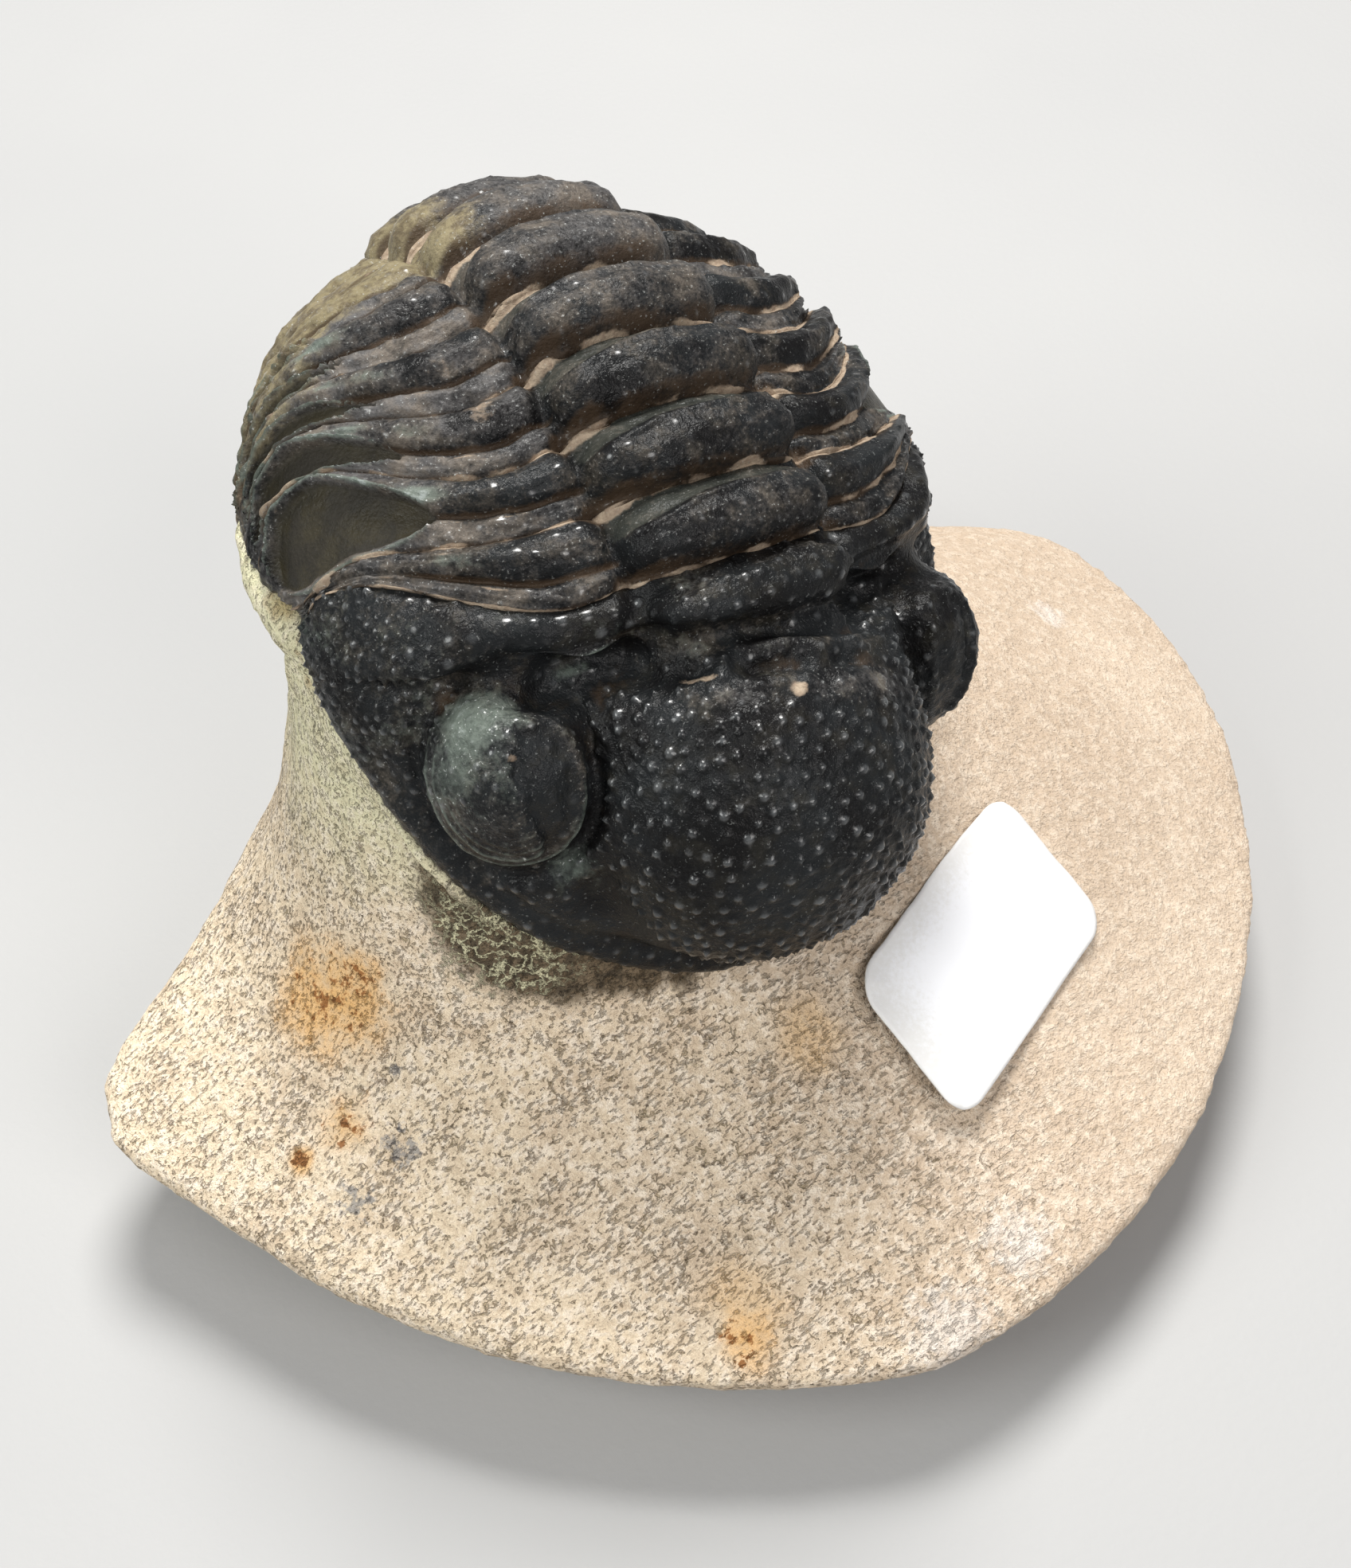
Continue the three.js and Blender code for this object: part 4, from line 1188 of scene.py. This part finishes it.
UNDER_TIPS = np.array([
    [-21.6, 0.6, 0.9, 1.1], [-21.7, 2.6, 0.1, 1.8], [-22.0, 4.8, 0.2, 2.0], [-22.3, 7.2, 1.0, 1.7],
    [-22.3, 9.4, 1.9, 1.3], [-22.1, 11.4, 2.6, 1.0],
])
# The dark crust in the shade of the head, partly painted shadow: a place, a radius and a share. Pale threads
# lie round one place.
CRUST_AND_PAINTED_SHADOW = (
    (-23.0, -5.6, 33.0, 2.4, 0.8), (-22.4, -6.8, 31.2, 3.4, 1), (-21.0, -8.3, 29.4, 4.6, 1.2),
    (-19.2, -9.6, 28.0, 5.0, 1.2), (-16.9, -11.4, 26.6, 3.6, 1.2), (-14.4, -12.5, 26.0, 2.6, 1.1),
    (-12.0, -13.2, 25.0, 2.1, 1), (-9.4, -13.9, 24.0, 1.8, 0.9),
)
THREADS_AT = (-20.0, -8.8, 28.8)
THREADS_SIZE = 5.1765
STROKE_TURN = math.radians(14)


def bead(bm, place, size):
    made = bmesh.ops.create_icosphere(bm, subdivisions=2, radius=size * MM)["verts"]
    bmesh.ops.translate(bm, verts=made, vec=Vector((np.array(place) * MM).tolist()))


def rock_lumps(bm):
    """Rock that still clings to the shell's left edges: lumps under the rib tips, and a thin lip."""
    for *place, size in EDGE_BEADS:
        bead(bm, place, size)
    for row in through(UNDER_TIPS)(np.linspace(0, len(UNDER_TIPS) - 1, 26)):
        bead(bm, roll_to_world(row[None, :3])[0], row[3])
    for place in through(LIP)(np.linspace(0, len(LIP) - 1, 64)):
        bead(bm, place, LIP_RADIUS)


def make_rock_mesh():
    bm = bmesh.new()
    bm.from_mesh(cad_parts["matrix_stone"].data)
    bmesh.ops.remove_doubles(bm, verts=bm.verts, dist=1e-6)
    rock_lumps(bm)
    mesh = wrapped(finished(bm, "rock_copy"), ROCK_VOXEL)
    relaxed(mesh, 10)
    points, normals = read_points(mesh), read_normals(mesh)
    # Near-black brown under the head: partly a crust, partly painted shadow where the head's shade falls.
    crust_and_painted_shadow = np.maximum.reduce([share * around(points, place, size) for *place, size, share in CRUST_AND_PAINTED_SHADOW])
    clinging = around(points, THREADS_AT, THREADS_SIZE)
    hollows = wobble(points, 11, 1)
    pecks = wobble(points, 3.2, 2)
    turned = points @ np.array(Matrix.Rotation(STROKE_TURN, 3, "Z"))
    strokes = wobble(turned * np.array([0.3, 1.1, 0.9]), 1.0, 3)
    grain = wobble(points, 0.9, 4)
    out = 0.35 * hollows + 0.14 * pecks + 0.1 * strokes + 0.08 * grain
    out -= 0.14 * soft_step(0.3, 0.6, wobble(points, 1.1, 6))
    out += clinging * (0.55 * wobble(points, 1.1, 7) + 0.15)
    out *= soft_step(0.3, 2.0, points[:, 2])
    points = points + normals * out[:, None]
    points[:, 2] = np.where(points[:, 2] < 0.3, 0, points[:, 2])
    write_points(mesh, points)
    store(mesh, "clinging", clinging)
    store(mesh, "crust_and_painted_shadow", crust_and_painted_shadow)
    return mesh


# %% [markdown]
# Freshly worked limestone is cream, and here it turns from a yellowish cream on the left and up the
# neck to pinkish peach on the right. Fine olive-brown specks lie in the grain, drawn out along the
# strokes of the tool. A few orange stains mark spots of iron. Under the head the rock is painted dark
# brown, partly a crust and partly painted shadow where the head's shade falls, with pale threads of a
# moss-like crust on it.

# %% The limestone material
# Spots: a place and a radius in millimetres.
RUST_SPOTS = (
    ((-30.8, -3.4, 20.7), 3.4), ((-33.0, -10.4, 16.2), 1.9), ((-36.4, -10.7, 13.9), 0.9),
    ((-14.3, -33.4, 10.9), 1.8), ((-28.0, -3.6, 22.4), 1.8),
)
HAZE_SPOTS = (((-2.4, -18.6, 19.2), 2.4), ((-13.2, -31.6, 11.8), 2.6), ((-30.8, -3.4, 20.7), 4.2))
BLUE_SPOTS = (((-30.3, -13.4, 15.8), 1.7), ((-34.0, -15.0, 13.6), 1.4), ((-28.6, -9.2, 18.6), 0.7))
NECK_STAINS = (((-26.9, 8.6, 46.0), 1.3), ((-26.4, 6.6, 44.0), 0.9), ((-26.2, 5.6, 41.5), 0.8))
SCUFFS = (((-1.1, -38.2, 9.6), 3.2), ((36.4, 12.5, 14.4), 1.8), ((6.0, -34.5, 10.4), 2.6))
# How ragged the mottling and the drift make the spots, where their edge lies, their strength and tint.
STAINS = (
    (HAZE_SPOTS, 1.2, 1.0, (0.35, 1.0), 0.45, (0.72, 0.45, 0.19)),
    (RUST_SPOTS, 0.9, 1.4, (0.3, 1.0), 0.7, (0.78, 0.43, 0.13)),
    (RUST_SPOTS, 2.6, 0.9, (0.9, 1.12), 0.85, (0.26, 0.09, 0.02)),
    (BLUE_SPOTS, 2.2, 0.0, (0.72, 1.0), 0.65, (0.14, 0.15, 0.17)),
    (SCUFFS, 1.2, 0.5, (0.45, 1.0), 0.5, (0.8, 0.75, 0.7)),
    (NECK_STAINS, 1.4, 0.6, (0.4, 1.0), 0.7, (0.38, 0.27, 0.1)),
)
STONE_TINTS = {
    "cream": (0.84, 0.7, 0.51),
    "peach": (0.6, 0.48, 0.365),
    "neck": (0.72, 0.7, 0.45),
    "patch": (0.56, 0.42, 0.3),
    "ground": (0.8, 0.67, 0.53),
    "pale": (0.92, 0.81, 0.67),
    "hollow": (0.46, 0.34, 0.22),
    "grit": (0.5, 0.37, 0.25),
    "streak": (0.36, 0.255, 0.14),
    "olive": (0.25, 0.185, 0.075),
    "rusty": (0.22, 0.13, 0.07),
    "speck": (0.15, 0.1, 0.055),
    "veil": (0.78, 0.76, 0.52),
    "dark": (0.035, 0.024, 0.012),
    "brown": (0.14, 0.095, 0.05),
    "thread": (0.68, 0.64, 0.42),
}


def make_rock_material():
    wire, place, finish = new_material("limestone")
    broad, patch = wire.grain(place, 22, 3, 0.5), wire.grain(place, 5, 4, 0.6)
    fine, grit = wire.grain(place, 0.9, 4, 0.65), wire.grain(place, 0.3, 3, 0.7)
    along_strokes = {"Rotation": (0, 0, STROKE_TURN), "Scale": (2.6, 0.85, 1.1)}
    streak = wire.grain(place, 0.3, 3, 0.6, along_strokes)
    dots, threads = wire.grain(place, 0.34, 2, 0.5), wire.grain(place, 1.1, 4, 0.62)
    worms, pieces = wire.grain(place, 1.5, 3, 0.6), wire.grain(place, 1.0, 2, 0.6)
    drift, mottle = patch - 0.5, fine - 0.5

    def spots(places):
        """1 at the middle of each spot and 0 outside all of them."""
        total = None
        for centre, radius in places:
            sockets = {0: place, 1: tuple(c * MM for c in centre)}
            away = wire.node("ShaderNodeVectorMath", {"operation": "DISTANCE"}, sockets, "Value")
            one = 1 - away.between(0, 2.4 * radius * MM)
            total = one if total is None else total.sum("MAXIMUM", total, one)
        return total

    def size_of(value):
        return value.sum("ABSOLUTE", value)

    sideways, upward = (wire.node("ShaderNodeSeparateXYZ", {}, {0: place}, axis) for axis in (0, 2))
    to_right = (sideways + 0.03 * (broad - 0.5)).between(-0.034, 0.012)
    neck = (upward + 0.012 * drift - 0.25 * sideways).between(0.032, 0.044)
    rough_side = 1 - (sideways + 0.02 * drift).between(-0.008, 0.022) * 0.85
    streaked = (streak + 0.2 * drift + 0.25 * mottle).between(0.54, 0.7) * rough_side
    worm = 1 - size_of(worms - 0.5).between(0.002, 0.03)
    squiggle = worm * (pieces + 0.2 * drift).between(0.53, 0.62) * rough_side
    specked = (dots + 0.12 * drift).between(0.64, 0.7) * rough_side
    # Painted shadow under the head, mixed with a dark brown crust.
    browned = (wire.stored("crust_and_painted_shadow") + 0.9 * mottle + 0.6 * drift).between(0.35, 0.8)
    near_threads = (wire.stored("clinging") + 1.2 * mottle + 0.6 * drift).between(0.3, 0.6)
    thread = (1 - size_of(threads - 0.5).between(0.015, 0.06)) * near_threads

    tint = STONE_TINTS
    mixed = fine.between(0.4, 0.6)
    stains = [
        ((spots(places) + ragged * mottle + shifted * drift).between(*edge) * strength, stain)
        for places, ragged, shifted, edge, strength, stain in STAINS
    ]
    colour = to_right.over(tint["cream"], tint["peach"])
    for mask, layer in (
        (neck * 0.85, tint["neck"]),
        (patch.between(0.42, 0.7) * (0.2 + 0.2 * rough_side), tint["patch"]),
        (broad.between(0.5, 0.75) * 0.35, tint["ground"]),
        # Painted light and shade on the grain: where the fine bump is high the colour is paler, where it is
        # low darker.
        (fine.between(0.47, 0.6) * (0.25 + 0.37 * rough_side), tint["pale"]),
        (fine.between(0.47, 0.36) * 0.32 * rough_side, tint["hollow"]),
        (grit.between(0.48, 0.62) * 0.36, tint["grit"]),
        (streaked * (0.3 + 0.25 * patch) * (1 - 0.6 * neck), tint["streak"]),
        (squiggle * 0.55, mixed.over(tint["olive"], tint["rusty"])),
        (specked * 0.65, tint["speck"]),
        (neck * 0.4, tint["veil"]),
        *stains,
        (browned * 0.92, mixed.over(tint["dark"], tint["brown"])),
        (thread * 0.9, tint["thread"]),
    ):
        colour = mask.over(colour, layer)

    height = 1.2 * fine + 0.6 * grit + 0.7 * patch + 1.2 * thread
    height = height - 0.8 * streaked - 0.4 * specked - 0.5 * squiggle
    return finish(colour, 0.86 + 0.1 * fine, height, 0.42, **{"Specular IOR Level": 0.25})


rock_mesh = make_rock_mesh()
show("matrix_stone_rock", rock_mesh, make_rock_material(), "matrix_stone")

# %% [markdown]
# ## The paper label
# A small plain label is stuck to the slope beside the head, and one end of it has come loose and
# curls up. A flat grid is given rounded corners and laid on the rock from above, so it follows the
# grain of the stone a little, as thin paper does.

# %% Lay the label on the rock
LABEL_HALF = np.array([10.5, 6.35])
LABEL_CORNER = 2.4
LABEL_CENTRE = np.array([12.5, -17.1])
LABEL_TURN = math.radians(31)
LABEL_SKEW = math.radians(12.5)
LABEL_THICKNESS = 0.16
LABEL_LIFT = 0.42


def make_label_material():
    wire, place, finish = new_material("paper")
    fibre = wire.grain(place, 0.35, 3, 0.6)
    cloud = wire.grain(place, 7, 3)
    edge = wire.stored("edge")
    colour = cloud.over((0.82, 0.83, 0.86), (0.87, 0.875, 0.89))
    colour = ((edge + 0.7 * (fibre - 0.5)).between(0.5, 1.0) * 0.4).over(colour, (0.6, 0.57, 0.5))
    soiled = (wire.grain(place, 1.6, 4, 0.65)).between(0.66, 0.78)
    colour = (soiled * 0.2).over(colour, (0.55, 0.52, 0.46))
    return finish(colour, 0.5 + 0.15 * fibre, fibre, 0.02, **{"Specular IOR Level": 0.4})


def make_label_mesh(rock):
    bm = bmesh.new()
    bmesh.ops.create_grid(bm, x_segments=60, y_segments=40, size=1)
    flat = np.array([v.co for v in bm.verts])[:, :2]
    # Squeezing the rows near the ends turns the square grid into a rectangle with round corners.
    corner = LABEL_HALF - LABEL_CORNER
    spot = flat * LABEL_HALF
    past = np.maximum(np.abs(spot) - corner, 0)
    reach = np.hypot(past[:, 0], past[:, 1])
    square = past.max(1)
    pull = np.where(reach > 0, square / np.maximum(reach, 1e-9), 1)
    spot = np.sign(spot) * (np.minimum(np.abs(spot), corner) + past * pull[:, None])
    along = np.array([math.cos(LABEL_TURN), math.sin(LABEL_TURN)])
    up = np.array([-math.sin(LABEL_TURN - LABEL_SKEW), math.cos(LABEL_TURN - LABEL_SKEW)])
    tree = BVHTree.FromPolygons([v.co for v in rock.vertices], [p.vertices for p in rock.polygons])

    def ground(xy):
        hit = tree.ray_cast(Vector((xy[0] * MM, xy[1] * MM, 0.04)), Vector((0, 0, -1)))[0]
        return hit.z / MM

    rise_along = (ground(LABEL_CENTRE + along * 5) - ground(LABEL_CENTRE - along * 5)) / 10
    rise_up = (ground(LABEL_CENTRE + up * 4) - ground(LABEL_CENTRE - up * 4)) / 8
    a = spot[:, 0] / math.hypot(1, rise_along)
    b = spot[:, 1] / math.hypot(1, rise_up)
    xy = LABEL_CENTRE + np.outer(a, along) + np.outer(b, up)
    heights = np.array([ground(p) for p in xy])
    even = np.array([ground(LABEL_CENTRE + along * s * 7.857 + up * t * 5.04) for s, t in flat])
    curl = 0.9 * soft_step(0.3, 1, -flat[:, 0]) + 0.35 * soft_step(0.5, 1, -flat[:, 0] - flat[:, 1] * 0.6)
    z = (heights + even) / 2 + LABEL_LIFT + curl
    for vert, x, y, h in zip(bm.verts, xy[:, 0], xy[:, 1], z):
        vert.co = Vector((x, y, h)) * MM
    layer = bm.verts.layers.float.new("edge")
    for vert, rim in zip(bm.verts, np.abs(flat).max(1)):
        vert[layer] = rim
    within = [v for v in bm.verts if not v.is_boundary]
    for _ in range(6):
        bmesh.ops.smooth_vert(bm, verts=within, factor=0.5, use_axis_z=True)
    bmesh.ops.solidify(bm, geom=bm.faces[:], thickness=LABEL_THICKNESS * MM)
    bmesh.ops.recalc_face_normals(bm, faces=bm.faces)
    return finished(bm, "label")


show("specimen_label_paper", make_label_mesh(rock_mesh), make_label_material(), "specimen_label")
